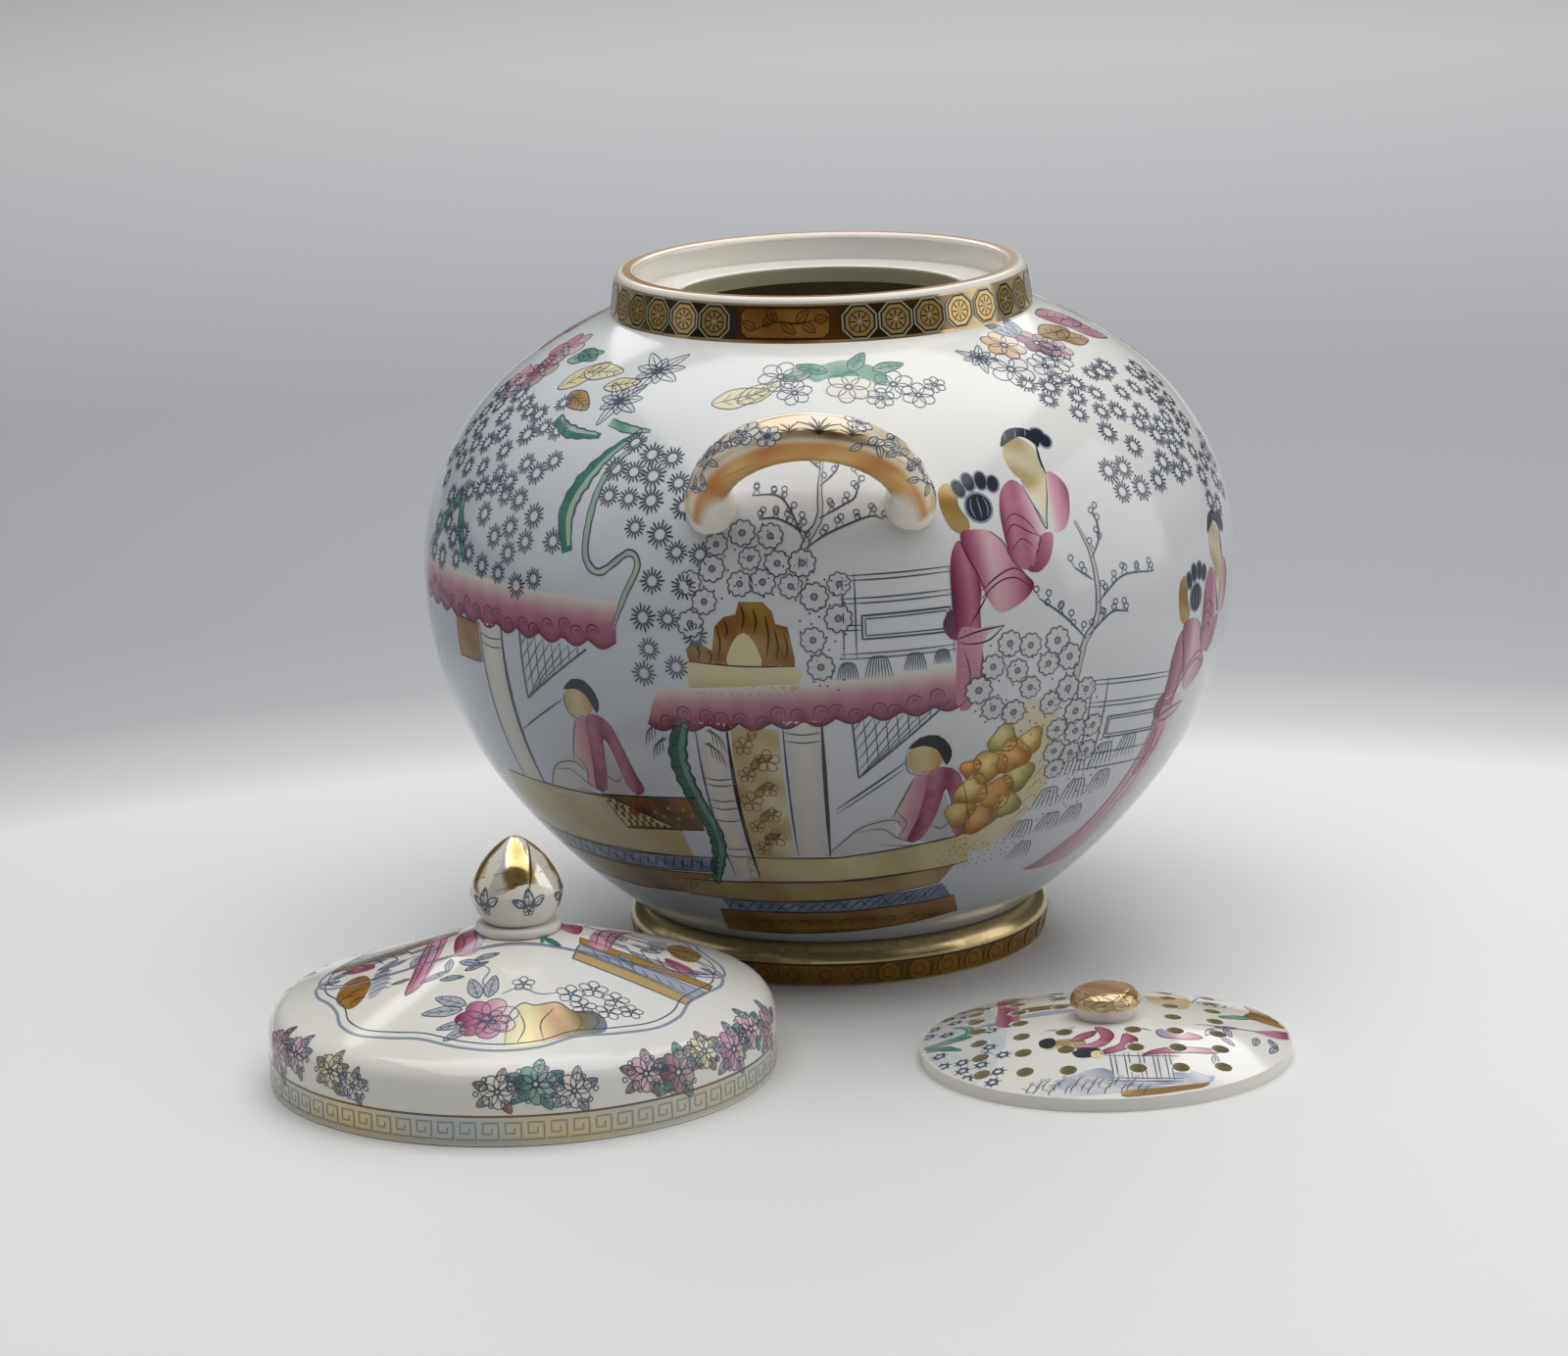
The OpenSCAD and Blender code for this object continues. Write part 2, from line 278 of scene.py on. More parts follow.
class Ink:
    """Thin coloured print that lies on a skin, gathered into one mesh."""

    def __init__(self, skin):
        self.skin = skin
        self.points, self.faces, self.tints = [], [], []

    def add(self, places, faces, tints):
        n = len(self.points)
        self.points.extend(places)
        self.tints.extend(tints)
        self.faces.extend([tuple(n + i for i in f) for f in faces])

    def mesh(self, name, material):
        ob = make_object(name, self.points, self.faces, material)
        tint = ob.data.color_attributes.new("tint", "FLOAT_COLOR", "POINT")
        tint.data.foreach_set("color", [c for t in self.tints for c in (*t, 0.0)[:4]])
        return ob

    def fit(self, name, body, slot, node=None, material="print"):
        """Makes the print a piece of a body."""
        fit(self.mesh(name, the_material(material)), body, node)


class Pen:
    """Draws in its own frame: millimetres about a point of the skin, sized and turned."""

    def __init__(self, ink, x=0.0, s=0.0, size=1.0, turn=0.0, flat=False):
        self.ink, self.x, self.s, self.size, self.flat = ink, x, s, size, flat
        self.cos, self.sin = cos(radians(turn)), sin(radians(turn))

    def to(self, x, y):
        """The skin's own coordinates of a point of the pen's frame."""
        x, y = x * self.size, y * self.size
        x, y = x * self.cos - y * self.sin, x * self.sin + y * self.cos
        s = self.s + y
        return self.x + x * (1.0 if self.flat else self.ink.skin.stretch(s)), s

    def line(self, points, width, tint, lift=LINE_LIFT, closed=False, smooth=True, taper=0.35):
        """A ribbon along the points that thins out to a share of its width at open ends."""
        pts = even(points, LINE_STEP / self.size, closed, smooth)
        n = len(pts)
        places, tints, faces = [], [], []
        for i, p in enumerate(pts):
            q = pts[(i + 1) % n] if closed else pts[min(i + 1, n - 1)]
            o = pts[i - 1] if closed or i else pts[0]
            d = q - o
            if d.length < 1e-9:
                d = Vector((1, 0))
            d = d.normalized() * (width / 2 / self.size)
            if not closed and taper:
                end = min(i, n - 1 - i) / max(1.0, (n - 1) * 0.3)
                d = d * (taper + (1 - taper) * min(1.0, end))
            for side in (1, -1):
                x, s = self.to(p.x - side * d.y, p.y + side * d.x)
                places.append(self.ink.skin.place(x, s, lift))
                tints.append(tint(p.x, p.y) if callable(tint) else tint)
        for i in range(n if closed else n - 1):
            j = (i + 1) % n
            faces.append((2 * i + 1, 2 * j + 1, 2 * j, 2 * i))
        self.ink.add(places, faces, tints)

    def lines(self, paths, width, tint):
        for points in paths:
            self.line(points, width, tint)

    def wash(self, points, paint, lift=WASH_LIFT, smooth=True, grid=3.2):
        """A filled outline, in triangles of about the grid's size, in one colour or a paint."""
        step = grid / self.size
        ring = even(points, step, True, smooth)
        x0, x1 = min(p.x for p in ring), max(p.x for p in ring)
        y0, y1 = min(p.y for p in ring), max(p.y for p in ring)
        verts = list(ring)
        rows = int((y1 - y0) / step) + 1
        columns = int((x1 - x0) / step) + 1
        for j in range(1, rows):
            for i in range(columns + 1):
                p = Vector((x0 + (i + 0.5 * (j % 2)) * step, y0 + j * step))
                if inside(p, ring) and min((p - q).length for q in ring) > 0.4 * step:
                    verts.append(p)
        n = len(ring)
        edges = [(i, (i + 1) % n) for i in range(n)]
        found = delaunay_2d_cdt(verts, edges, [], 1, 1e-6)
        places, tints = [], []
        for p in found[0]:
            x, s = self.to(p.x, p.y)
            places.append(self.ink.skin.place(x, s, lift))
            tints.append(paint(p.x, p.y) if callable(paint) else paint)
        self.ink.add(places, found[2], tints)

    def dot(self, x, y, r, tint, lift=LINE_LIFT, sides=10):
        places = [self.ink.skin.place(*self.to(*p), lift) for p in oval(x, y, r, r, count=sides)]
        self.ink.add(places, [range(sides)], [tint] * sides)

    def ring(self, x, y, r, width, tint, lift=LINE_LIFT):
        self.line(oval(x, y, r, r, count=12), width, tint, lift, closed=True)


def make_object(name, points, faces, material):
    mesh = bpy.data.meshes.new(name)
    mesh.from_pydata(points, [], faces)
    mesh.update()
    mesh.polygons.foreach_set("use_smooth", [True] * len(mesh.polygons))
    mesh.materials.append(material)
    ob = bpy.data.objects.new(name, mesh)
    bpy.context.scene.collection.objects.link(ob)
    return ob


def lathe(name, profile, material, cx=0.0, cy=0.0, sides=288, crease=50):
    """A turned piece from the closed run of points (r, z), up its outer side and down its inner side."""
    points, rows, faces = [], [], []
    for r, z in profile:
        if r < ON_AXIS:
            rows.append([len(points)] * sides)
            points.append((cx * MM, cy * MM, z * MM))
            continue
        rows.append([len(points) + j for j in range(sides)])
        for j in range(sides):
            a = TURN * j / sides
            points.append(((cx + r * sin(a)) * MM, (cy - r * cos(a)) * MM, z * MM))
    for low, high in zip(rows, rows[1:]):
        for j in range(sides):
            k = (j + 1) % sides
            quad = [low[j], low[k], high[k], high[j]]
            face = [v for i, v in enumerate(quad) if v != quad[i - 1]]
            if len(face) > 2:
                faces.append(tuple(face))
    if profile[0][0] > ON_AXIS and profile[-1][0] > ON_AXIS:
        for j in range(sides):
            k = (j + 1) % sides
            faces.append((rows[-1][j], rows[-1][k], rows[0][k], rows[0][j]))
    ob = make_object(name, points, faces, material)
    ob.data.set_sharp_from_angle(angle=radians(crease))
    return ob


def fit(piece, body, node=None):
    """Ties a finished piece to its body and hides the solid that it stands for."""
    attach(piece, body)
    if node:
        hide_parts(node)


def polar(cx, cy, r, turn):
    """The point at a distance and a turn in degrees from a middle."""
    a = radians(turn)
    return cx + r * cos(a), cy + r * sin(a)


def bowl_parts(z, inset=0.0):
    """The bowl's four arcs from its foot to its neck, inset by a wall."""
    upper = (z.belly_r - z.upper_r, z.belly_z)
    shoulder = polar(*upper, z.upper_r - z.shoulder_r, z.upper_turn)
    lower = (z.belly_r - z.lower_r, z.belly_z)
    flank = polar(*lower, z.lower_r - z.flank_r, -z.lower_turn)
    low = z.foot_h + (z.floor_t if inset else 0.0)
    top = neck_z(z)
    start = degrees(asin((low - flank[1]) / (z.flank_r - inset)))
    end = degrees(asin((top - shoulder[1]) / (z.shoulder_r - inset)))
    return [
        (*flank, z.flank_r - inset, start, -z.lower_turn),
        (*lower, z.lower_r - inset, -z.lower_turn, 0.0),
        (*upper, z.upper_r - inset, 0.0, z.upper_turn),
        (*shoulder, z.shoulder_r - inset, z.upper_turn, end),
    ]


def neck_z(z):
    """Height at which the bowl's shoulder meets the neck."""
    upper = (z.belly_r - z.upper_r, z.belly_z)
    shoulder = polar(*upper, z.upper_r - z.shoulder_r, z.upper_turn)
    return shoulder[1] + sqrt(z.shoulder_r**2 - (z.neck_base_r - shoulder[0]) ** 2)


def bowl_skin(z):
    return Skin(Outline(bowl_parts(z)), z.belly_r)


def nodes_of(material):
    tree = material.node_tree
    return tree, tree.nodes["Principled BSDF"]


def add_node(tree, kind, inputs=(), out=0, **settings):
    """One output of a new node that has those settings, with values or other outputs on its inputs."""
    node = tree.nodes.new(kind)
    for name, value in settings.items():
        setattr(node, name, value)
    for name, value in dict(inputs).items():
        if isinstance(value, bpy.types.NodeSocket):
            tree.links.new(value, node.inputs[name])
        else:
            node.inputs[name].default_value = value
    return node.outputs[out]


def add_ramp(tree, value, stops):
    """A colour that runs through stops (place, colour)."""
    colour = add_node(tree, "ShaderNodeValToRGB", {"Fac": value})
    elements = colour.node.color_ramp.elements
    for i, (place, shade) in enumerate(stops):
        stop = elements[i] if i < 2 else elements.new(place)
        stop.position, stop.color = place, (*shade, 1.0)
    return colour


def add_noise(tree, scale, detail=3.0):
    where = add_node(tree, "ShaderNodeTexCoord", out="Object")
    return add_node(tree, "ShaderNodeTexNoise", {"Scale": scale, "Detail": detail, "Vector": where})


def ramp_along(tree, axis, start, end, codes):
    """A colour that runs evenly through the codes between two Object coordinates of an axis."""
    where = add_node(tree, "ShaderNodeTexCoord", out="Object")
    place = add_node(tree, "ShaderNodeSeparateXYZ", {"Vector": where}, axis)
    share = add_node(tree, "ShaderNodeMapRange", {"From Min": start, "From Max": end, "Value": place})
    return add_ramp(tree, share, [(i / (len(codes) - 1), linear(code)) for i, code in enumerate(codes)])


def multiply(tree, a, b):
    """The product of two colours of a node tree."""
    inputs = {"Factor": 1.0, "A": a, "B": b}
    return add_node(tree, "ShaderNodeMix", inputs, "Result", data_type="RGBA", blend_type="MULTIPLY")


def new_material(name, colour, roughness, metallic=0.0):
    material = bpy.data.materials.new(name)
    material.use_nodes = True
    shader = nodes_of(material)[1]
    shader.inputs["Base Color"].default_value = (*colour, 1.0)
    shader.inputs["Roughness"].default_value = roughness
    shader.inputs["Metallic"].default_value = metallic
    return material


def glaze_material(c):
    """Glossy white glaze, a little uneven in colour."""
    material = new_material("glaze", c.glaze, 0.1)
    tree, shader = nodes_of(material)
    stops = ((0.3, blend(c.glaze, linear("dfe2e6"), 0.5)), (0.62, c.glaze))
    tree.links.new(add_ramp(tree, add_noise(tree, 9.0), stops), shader.inputs["Base Color"])
    return material


def bowl_glaze_material(c):
    """The bowl's glaze, with painted shade that makes it darker and cooler towards the foot and on the left.
    """
    material = new_material("bowl_glaze", c.glaze, 0.12)
    tree, shader = nodes_of(material)
    # Painted shade: the glaze turns darker and cooler towards the foot.
    shade_by_height = ramp_along(tree, "Z", PAINTED_SHADE_LOW, PAINTED_SHADE_HIGH, ("b0b4bb", "b6bac1", "c4c7cb", "dcdddd", "ecebe6"))
    # Painted shade: the glaze is a darker, cooler white on the left side.
    shade_on_left = ramp_along(tree, "X", -0.12, 0.03, ("e9eff8", "f4f7fb", "ffffff"))
    tree.links.new(multiply(tree, shade_by_height, shade_on_left), shader.inputs["Base Color"])
    return material


def tint_material(name, roughness):
    """Print, enamel or gilding in the mesh's own tint, whose alpha is its share of metal."""
    material = new_material(name, (0.5, 0.5, 0.5), roughness)
    tree, shader = nodes_of(material)
    tint = add_node(tree, "ShaderNodeAttribute", out="Color", attribute_name="tint")
    tree.links.new(tint, shader.inputs["Base Color"])
    tree.links.new(tint.node.outputs["Alpha"], shader.inputs["Metallic"])
    return material


def bowl_print_material():
    """The bowl's print, darkened towards the foot by the same painted shade as the glaze."""
    material = tint_material("bowl_print", 0.12)
    tree, shader = nodes_of(material)
    tint = shader.inputs["Base Color"].links[0].from_socket
    # Painted shade: the print darkens towards the foot.
    depth = ramp_along(tree, "Z", PAINTED_SHADE_LOW, PAINTED_SHADE_HIGH, ("c4c4c4", "cacaca", "dadada", "f4f4f4", "ffffff"))
    tree.links.new(multiply(tree, tint, depth), shader.inputs["Base Color"])
    return material


def gilt_material(c):
    """Gold leaf that is rubbed in patches down to a duller ground."""
    material = new_material("gold_leaf", c.gold, 0.22, 1.0)
    tree, shader = nodes_of(material)
    stops = ((0.28, (0.0, 0.0, 0.0)), (0.44, (0.75, 0.75, 0.75)))
    kept = add_ramp(tree, add_noise(tree, 70.0, 6.0), stops)
    inputs = {"A": (*linear("b39a68"), 1.0), "B": (*c.gold, 1.0), "Factor": kept}
    colour = add_node(tree, "ShaderNodeMix", inputs, "Result", data_type="RGBA")
    tree.links.new(colour, shader.inputs["Base Color"])
    tree.links.new(kept, shader.inputs["Metallic"])
    return material


def the_material(name):
    """A material of the set, made the first time that it is asked for."""
    if name in bpy.data.materials:
        return bpy.data.materials[name]
    c = bpy.context.scene.vase_colours
    makers = {
        "glaze": lambda: glaze_material(c),
        "bowl_glaze": lambda: bowl_glaze_material(c),
        "print": lambda: tint_material("print", 0.12),
        "bowl_print": bowl_print_material,
        "vent_shade": lambda: new_material("vent_shade", linear("cfc5a0"), 0.4),
        # Painted shade for the inside of the bowl and of the neck's mouth.
        "inside_glaze": lambda: new_material("inside_glaze", linear("b5ae92"), 0.3),
        "gold_leaf": lambda: gilt_material(c),
    }
    return makers[name]()


def shade_inside(mesh, top):
    """Gives the faces that look to the axis below that height a darker olive colour: painted shade inside the
    bowl and the neck's mouth.
    """
    mesh.materials.append(the_material("inside_glaze"))
    for face in mesh.polygons:
        c, n = face.center, face.normal
        if c.x * n.x + c.y * n.y < 0 and c.z < top * MM:
            face.material_index = 1


class VASE_OT_bowl(bpy.types.Operator):
    """Turn the glazed bowl"""

    bl_idname = "vase.bowl"
    bl_label = "Bowl"

    def execute(self, context):
        z = context.scene.vase_sizes
        outer = Outline(bowl_parts(z)).points(1.6)
        inner = Outline(bowl_parts(z, z.bowl_wall)).points(2.4)
        profile = [(0.0, z.foot_h)] + outer + inner[::-1] + [(0.0, z.foot_h + z.floor_t)]
        bowl = lathe("glazed_bowl", profile, the_material("bowl_glaze"))
        shade_inside(bowl.data, neck_z(z))
        fit(bowl, "vase", "bowl")
        return {"FINISHED"}


def neck_parts(z):
    """The neck's outer side and its rounded rim."""
    edge = neck_z(z) + z.neck_h - RIM_ROUND
    out, bore = z.rim_r - RIM_ROUND, z.neck_bore_r + RIM_ROUND
    return [
        (z.neck_base_r, neck_z(z), z.rim_r, edge),
        (out, edge, RIM_ROUND, 0.0, 90.0),
        (out, neck_z(z) + z.neck_h, bore, neck_z(z) + z.neck_h),
        (bore, edge, RIM_ROUND, 90.0, 180.0),
    ]


class VASE_OT_neck(bpy.types.Operator):
    """Turn the neck with its rounded rim and inner ledge"""

    bl_idname = "vase.neck"
    bl_label = "Neck"

    def execute(self, context):
        z = context.scene.vase_sizes
        base, rim = neck_z(z), neck_z(z) + z.neck_h
        ledge = rim - z.ledge_depth
        inside_parts = [
            (z.neck_bore_r, rim - RIM_ROUND, z.neck_bore_r, ledge),
            (z.neck_bore_r, ledge, z.mouth_r + LEDGE_ROUND, ledge),
            (z.mouth_r + LEDGE_ROUND, ledge - LEDGE_ROUND, LEDGE_ROUND, 90.0, 180.0),
            (z.mouth_r, ledge - LEDGE_ROUND, z.mouth_r, base),
        ]
        neck = lathe("glazed_neck", Outline(neck_parts(z) + inside_parts).points(0.3), the_material("glaze"))
        shade_inside(neck.data, ledge - 0.6)
        fit(neck, "vase", "neck_ring")
        return {"FINISHED"}


def foot_parts(z):
    """The foot's outer side and the bulge that meets the bowl at its joint."""
    joint = Outline(bowl_parts(z)).at(0.0)[0]
    bulge = z.foot_r - joint
    return [
        (z.foot_rest_r, FOOT_ROUND, z.foot_r, z.foot_h - bulge),
        (joint, z.foot_h - bulge, bulge, 0.0, 90.0),
    ]


class VASE_OT_foot(bpy.types.Operator):
    """Turn the gilt foot ring"""

    bl_idname = "vase.foot"
    bl_label = "Foot"

    def execute(self, context):
        z = context.scene.vase_sizes
        side, bulge = foot_parts(z)
        edge = z.foot_rest_r - FOOT_ROUND
        outline = Outline(
            [
                (z.foot_rest_r - 7.0, 0.0, edge, 0.0),
                (edge, FOOT_ROUND, FOOT_ROUND, -90.0, 0.0),
                side,
                bulge,
                (bulge[0], z.foot_h, bulge[0] - 8.5, z.foot_h),
            ]
        )
        foot = lathe("gilt_foot", outline.points(0.3), the_material("gold_leaf"))
        fit(foot, "vase", "foot_ring")
        return {"FINISHED"}


def handle_frame(z, turn):
    """Matrix that takes the handle ring's own plane to its place on the bowl."""
    upper = (z.belly_r - z.upper_r, z.belly_z)
    reach = upper[0] + sqrt(z.upper_r**2 - (z.handle_z - upper[1]) ** 2)
    out = sqrt(reach**2 - z.ring_r**2)
    spin = Matrix.Rotation(radians(turn), 4, "Z")
    shift = Matrix.Translation((0.0, -out, z.handle_z))
    lean = Matrix.Rotation(radians(90 + z.handle_lean), 4, "X")
    return spin @ shift @ lean @ Matrix.Translation((0.0, z.ring_rise, 0.0))


class HandleSkin(Skin):
    """A handle's strap: x runs along its ring from the crown, s round its section from the outer side."""

    half = 7.0
    lobe_start, lobe_span = 68, 24
    ridge_turn = 28

    def __init__(self, z, turn):
        self.frame, self.r0 = handle_frame(z, turn), z.ring_r

    def section(self, x, a):
        """Distance from the strap's middle at an angle round its section, with lobes at the ends."""
        lobe = max(0.0, min(1.0, (degrees(abs(x / self.r0)) - self.lobe_start) / self.lobe_span))
        lobe = lobe * lobe * (3 - 2 * lobe)
        b = a - radians(self.ridge_turn)
        body = self.half - 0.1 + 0.55 * cos(2 * b + pi) + 0.35 * cos(4 * b)
        lump = 7.6 + 1.9 * max(0.0, -cos(a))
        return body + (lump - body) * lobe

    def place(self, x, s, lift):
        along, a = x / self.r0, s / self.half
        reach = self.section(x, a) + lift
        r = self.r0 + reach * cos(a)
        p = self.frame @ Vector((r * sin(along), r * cos(along), reach * sin(a)))
        return p.x * MM, p.y * MM, p.z * MM

    def stretch(self, s):
        return 1.0


def draw_strap(ink, c):
    """The strap itself: pale above, warm below, with a dull gilt streak and white ends."""
    rows, sides, reach = 96, 48, 104
    skin = ink.skin
    pale, warm = (*linear("f4efe2"), 0.0), (*linear("d6b06c"), 0.4)
    deep, white = (*linear("c4823f"), 0.25), (*c.glaze, 0.0)
    patches = mottled((0.0,), (1.0,), 3, 5.0)
    streak = (*linear("957434"), 0.7)
    places, tints = [], []
    for i in range(rows + 1):
        x = skin.r0 * radians(-reach + 2 * reach * i / rows)
        for j in range(sides):
            s = TURN * skin.half * j / sides
            a = degrees((s / skin.half + pi) % TURN - pi)
            lower = (a - 46) / 12 if a > 0 else (-a - 110) / 30
            share = patches(x, s)[0]
            tint = blend(blend(pale, warm, 0.55 * share), blend(warm, deep, share), lower)
            tint = blend(tint, streak, 1.1 - abs(x - 8) / 24 - abs(a - 26) / 30)
            turned = degrees(abs(x / skin.r0))
            under = min(max(0.45 - cos(radians(a)), 0.0), 1.0)
            places.append(skin.place(x, s, 0.0))
            tints.append(blend(tint, white, max((turned - 64) / 9 * under, (turned - 90) / 5)))
    ink.add(places, band_faces(rows, sides), tints)


def draw_sprigs(ink, c):
    """Sprigs, blossoms and grass drawn along the handle's upper face."""
    pen = Pen(ink)
    for x, s, turn in ((-42, 2, 60), (-36, -3, 20), (-31, 2, -20), (-24, -2, 35), (20, 3, -20),
                       (25, -3, -50), (31, 1, -10), (37, -2, -60), (42, 2, -30)):
        sub = Pen(ink, x, s, 1.0, turn)
        sub.line([(-5, 0), (0, 0.6), (5, 0)], 0.4, c.ink, 0.08)
        for px, way in ((-4, 130), (-2, -60), (1, 60), (3, -40), (5, 10)):
            leaf(sub, px, 0.3, 4.4, 2.0, way, c, (*c.glaze, 0.0), 1)
    for x, s, r in ((-17, -1, 4.6), (-10, 3, 3.6), (15, -4, 3.8)):
        bloom(pen, x, s, r, 6, c, (*c.glaze, 0.0))
    for x, s, size, count in ((4, 4, 8.0, 9), (13, 3, 5.5, 7), (-4, 3, 4.5, 5)):
        for i in range(count):
            tip = polar(x, s, size * (1.0 if i % 2 else 0.7), 205 + 130 * i / (count - 1))
            pen.line([(x, s), (x + 0.35 * (tip[0] - x), s + 0.6 * (tip[1] - s)), tip], 0.4, c.brown, 0.08,
                     taper=0.4)


class VASE_OT_handles(bpy.types.Operator):
    """Sweep the two ring handles, gilt with sprigs on their outer side"""

    bl_idname = "vase.handles"
    bl_label = "Handles"

    def execute(self, context):
        z, c = context.scene.vase_sizes, Palette(context.scene.vase_colours)
        for name, turn in (("front_handle", z.handle_turn), ("rear_handle", z.handle_turn + 180)):
            skin = HandleSkin(z, turn)
            strap = Ink(skin)
            draw_strap(strap, c)
            strap.fit("gilt_" + name, "vase", "gilt_glaze", name)
            sprigs = Ink(skin)
            draw_sprigs(sprigs, c)
            sprigs.fit(name + "_sprigs", "vase", "gilt_glaze")
        return {"FINISHED"}


def cover_parts(z):
    """The cover's outline up its skirt, shoulder and dome, and the height where its collar stands."""
    c = (z.cover_r - z.cover_round, z.skirt_h)
    edge = polar(*c, z.cover_round, 90 - z.dome_slope)
    rise = tan(radians(z.dome_slope))
    top = edge[1] + (edge[0] - z.collar_r) * rise
    parts = [
        (z.cover_r, 0.0, z.cover_r, z.skirt_h),
        (*c, z.cover_round, 0.0, 90 - z.dome_slope),
        (*edge, z.collar_r, top),
    ]
    return parts, top


def bud_profile(z, top):
    """The bud's outline: collar, rounded lower half, pointed upper half."""
    half = z.collar_h / 2
    found = [(0.0, top)]
    found += [polar(z.collar_r - half, top + half, half, a) for a in range(-90, 91, 15)]
    outline = bud_outline(z, top)
    return found + outline.points(0.4) + [(0.0, outline.at(outline.length)[1])]


class VASE_OT_cover(bpy.types.Operator):
    """Turn the outer cover and its bud finial"""

    bl_idname = "vase.cover"
    bl_label = "Outer cover"

    def execute(self, context):
        z = context.scene.vase_sizes
        parts, top = cover_parts(z)
        outline = Outline(parts)
        outer = [(z.cover_r - 0.8, 0.0), (z.cover_r - 0.2, 0.25), (z.cover_r, 0.9)]
        outer += outline.points(0.8)[1:] + [(0.0, top)]
        inner_r = z.cover_round - z.cover_wall
        c = parts[1][:2]
        edge = polar(*c, inner_r, 90 - z.dome_slope)
        peak = min(edge[1] + edge[0] * tan(radians(z.dome_slope)), top - 1.0)
        inner = [(z.cover_r - z.cover_wall, 0.0), (z.cover_r - z.cover_wall, z.skirt_h)]
        inner += [polar(*c, inner_r, a) for a in (24, 48, 90 - z.dome_slope)]
        flat = edge[0] - (peak - edge[1]) / tan(radians(z.dome_slope))
        inner += [(flat, peak), (0.0, peak)]
        profile = inner[::-1] + outer
        cover = lathe("glazed_cover", profile, the_material("glaze"), z.cover_x, z.cover_y)
        fit(cover, "outer_cover", "cover_dome")
        bud = lathe("glazed_bud", bud_profile(z, top), the_material("glaze"), z.cover_x, z.cover_y, 144, 40)
        fit(bud, "outer_cover", "cover_finial")
        return {"FINISHED"}


def bud_outline(z, top):
    """The bud's side above its collar: its lower half, its pointed upper half and its blunt tip."""
    wide = top + z.collar_h + z.bud_low_h
    tip = wide + z.bud_top_h
    low = ((z.bud_r - z.bud_base_r) ** 2 + z.bud_low_h**2) / (2 * (z.bud_r - z.bud_base_r))
    p, q = Vector((z.bud_r, wide)), Vector((z.tip_r, tip - z.tip_r))
    d = q - p
    half = d.length / 2
    big = (half**2 + z.bud_swell**2) / (2 * z.bud_swell)
    c = (p + q) / 2 - (big - z.bud_swell) * Vector((d.y, -d.x)) / d.length
    first, last = (degrees(atan2(v.y - c.y, v.x - c.x)) for v in (p, q))
    end = first
    while end < last and polar(*c, big, end)[0] > 1.2 * z.tip_r * cos(radians(end)):
        end += 0.25
    r, h = polar(*c, big, end)
    blunt = r / cos(radians(end))
    start = -degrees(asin(z.bud_low_h / low))
    return Outline(
        [
            (z.bud_r - low, wide, low, start, 0.0),
            (c.x, c.y, big, first, end),
            (0.0, h - blunt * sin(radians(end)), blunt, end, 89.0),
        ]
    )


def plate_dome(z):
    """Radius of the plate's domed top and the height of its centre."""
    big = (z.plate_r**2 + z.plate_rise**2) / (2 * z.plate_rise)
    return big, z.plate_edge + z.plate_rise - big


def plate_skin(z):
    """The plate's domed top, drawn on from above."""
    big, middle = plate_dome(z)

    def outline(r):
        h = sqrt(max(big * big - r * r, 0.0))
        return middle + h, h / big

    return PlanSkin(outline, z.plate_r, z.plate_x, z.plate_y)


def plate_holes(z):
    """Middles of the plate's holes, in rows that draw in towards its edge."""
    found = []
    for row in range(-3, 4):
        for k in (-1, 1):
            for column in range(3):
                x = z.hole_shift + k * (z.hole_start + column * z.hole_pitch)
                y = row * z.hole_row * (1 - z.hole_bow * (x / z.plate_r) ** 2)
                found.append((z.plate_x + x, z.plate_y + y))
    return found


def knob_outline(z):
    """The knob's side: its stem, its flare and its rounded upper edge."""
    top = z.plate_edge + z.plate_rise
    edge = top + z.knob_h - 0.6 - z.knob_round
    return Outline(
        [
            (z.knob_base_r, top - 2.0, z.knob_base_r, top),
            (z.knob_base_r, top, z.knob_r - 0.5, edge - 1.2),
            (z.knob_r - 1.6, edge, 1.6, -40.0, 0.0),
            (z.knob_r - z.knob_round, edge, z.knob_round, 0.0, 84.0),
        ]
    )


class VASE_OT_plate(bpy.types.Operator):
    """Make the pierced plate and its knob"""

    bl_idname = "vase.plate"
    bl_label = "Pierced plate"

    def execute(self, context):
        z = context.scene.vase_sizes
        mesh = bpy.data.objects["pierced_plate"].data.copy()
        mesh.materials.clear()
        mesh.materials.append(the_material("glaze"))
        mesh.polygons.foreach_set("use_smooth", [True] * len(mesh.polygons))
        mesh.set_sharp_from_angle(angle=radians(40))
        mesh.materials.append(the_material("vent_shade"))
        holes = plate_holes(z)
        for face in mesh.polygons:
            x, y = face.center.x / MM, face.center.y / MM
            if abs(face.normal.z) < 0.2 and any(hypot(x - a, y - b) < z.hole_r + 0.1 for a, b in holes):
                face.material_index = 1
        plate = bpy.data.objects.new("glazed_plate", mesh)
        context.scene.collection.objects.link(plate)
        fit(plate, "pierced_cover", "pierced_plate")
        top = z.plate_edge + z.plate_rise
        profile = [(0.0, top - 2.0)] + knob_outline(z).points(0.4) + [(0.0, top + z.knob_h)]
        knob = lathe("glazed_knob", profile, the_material("glaze"), z.plate_x, z.plate_y, 144, 60)
        fit(knob, "pierced_cover", "plate_knob")
        return {"FINISHED"}


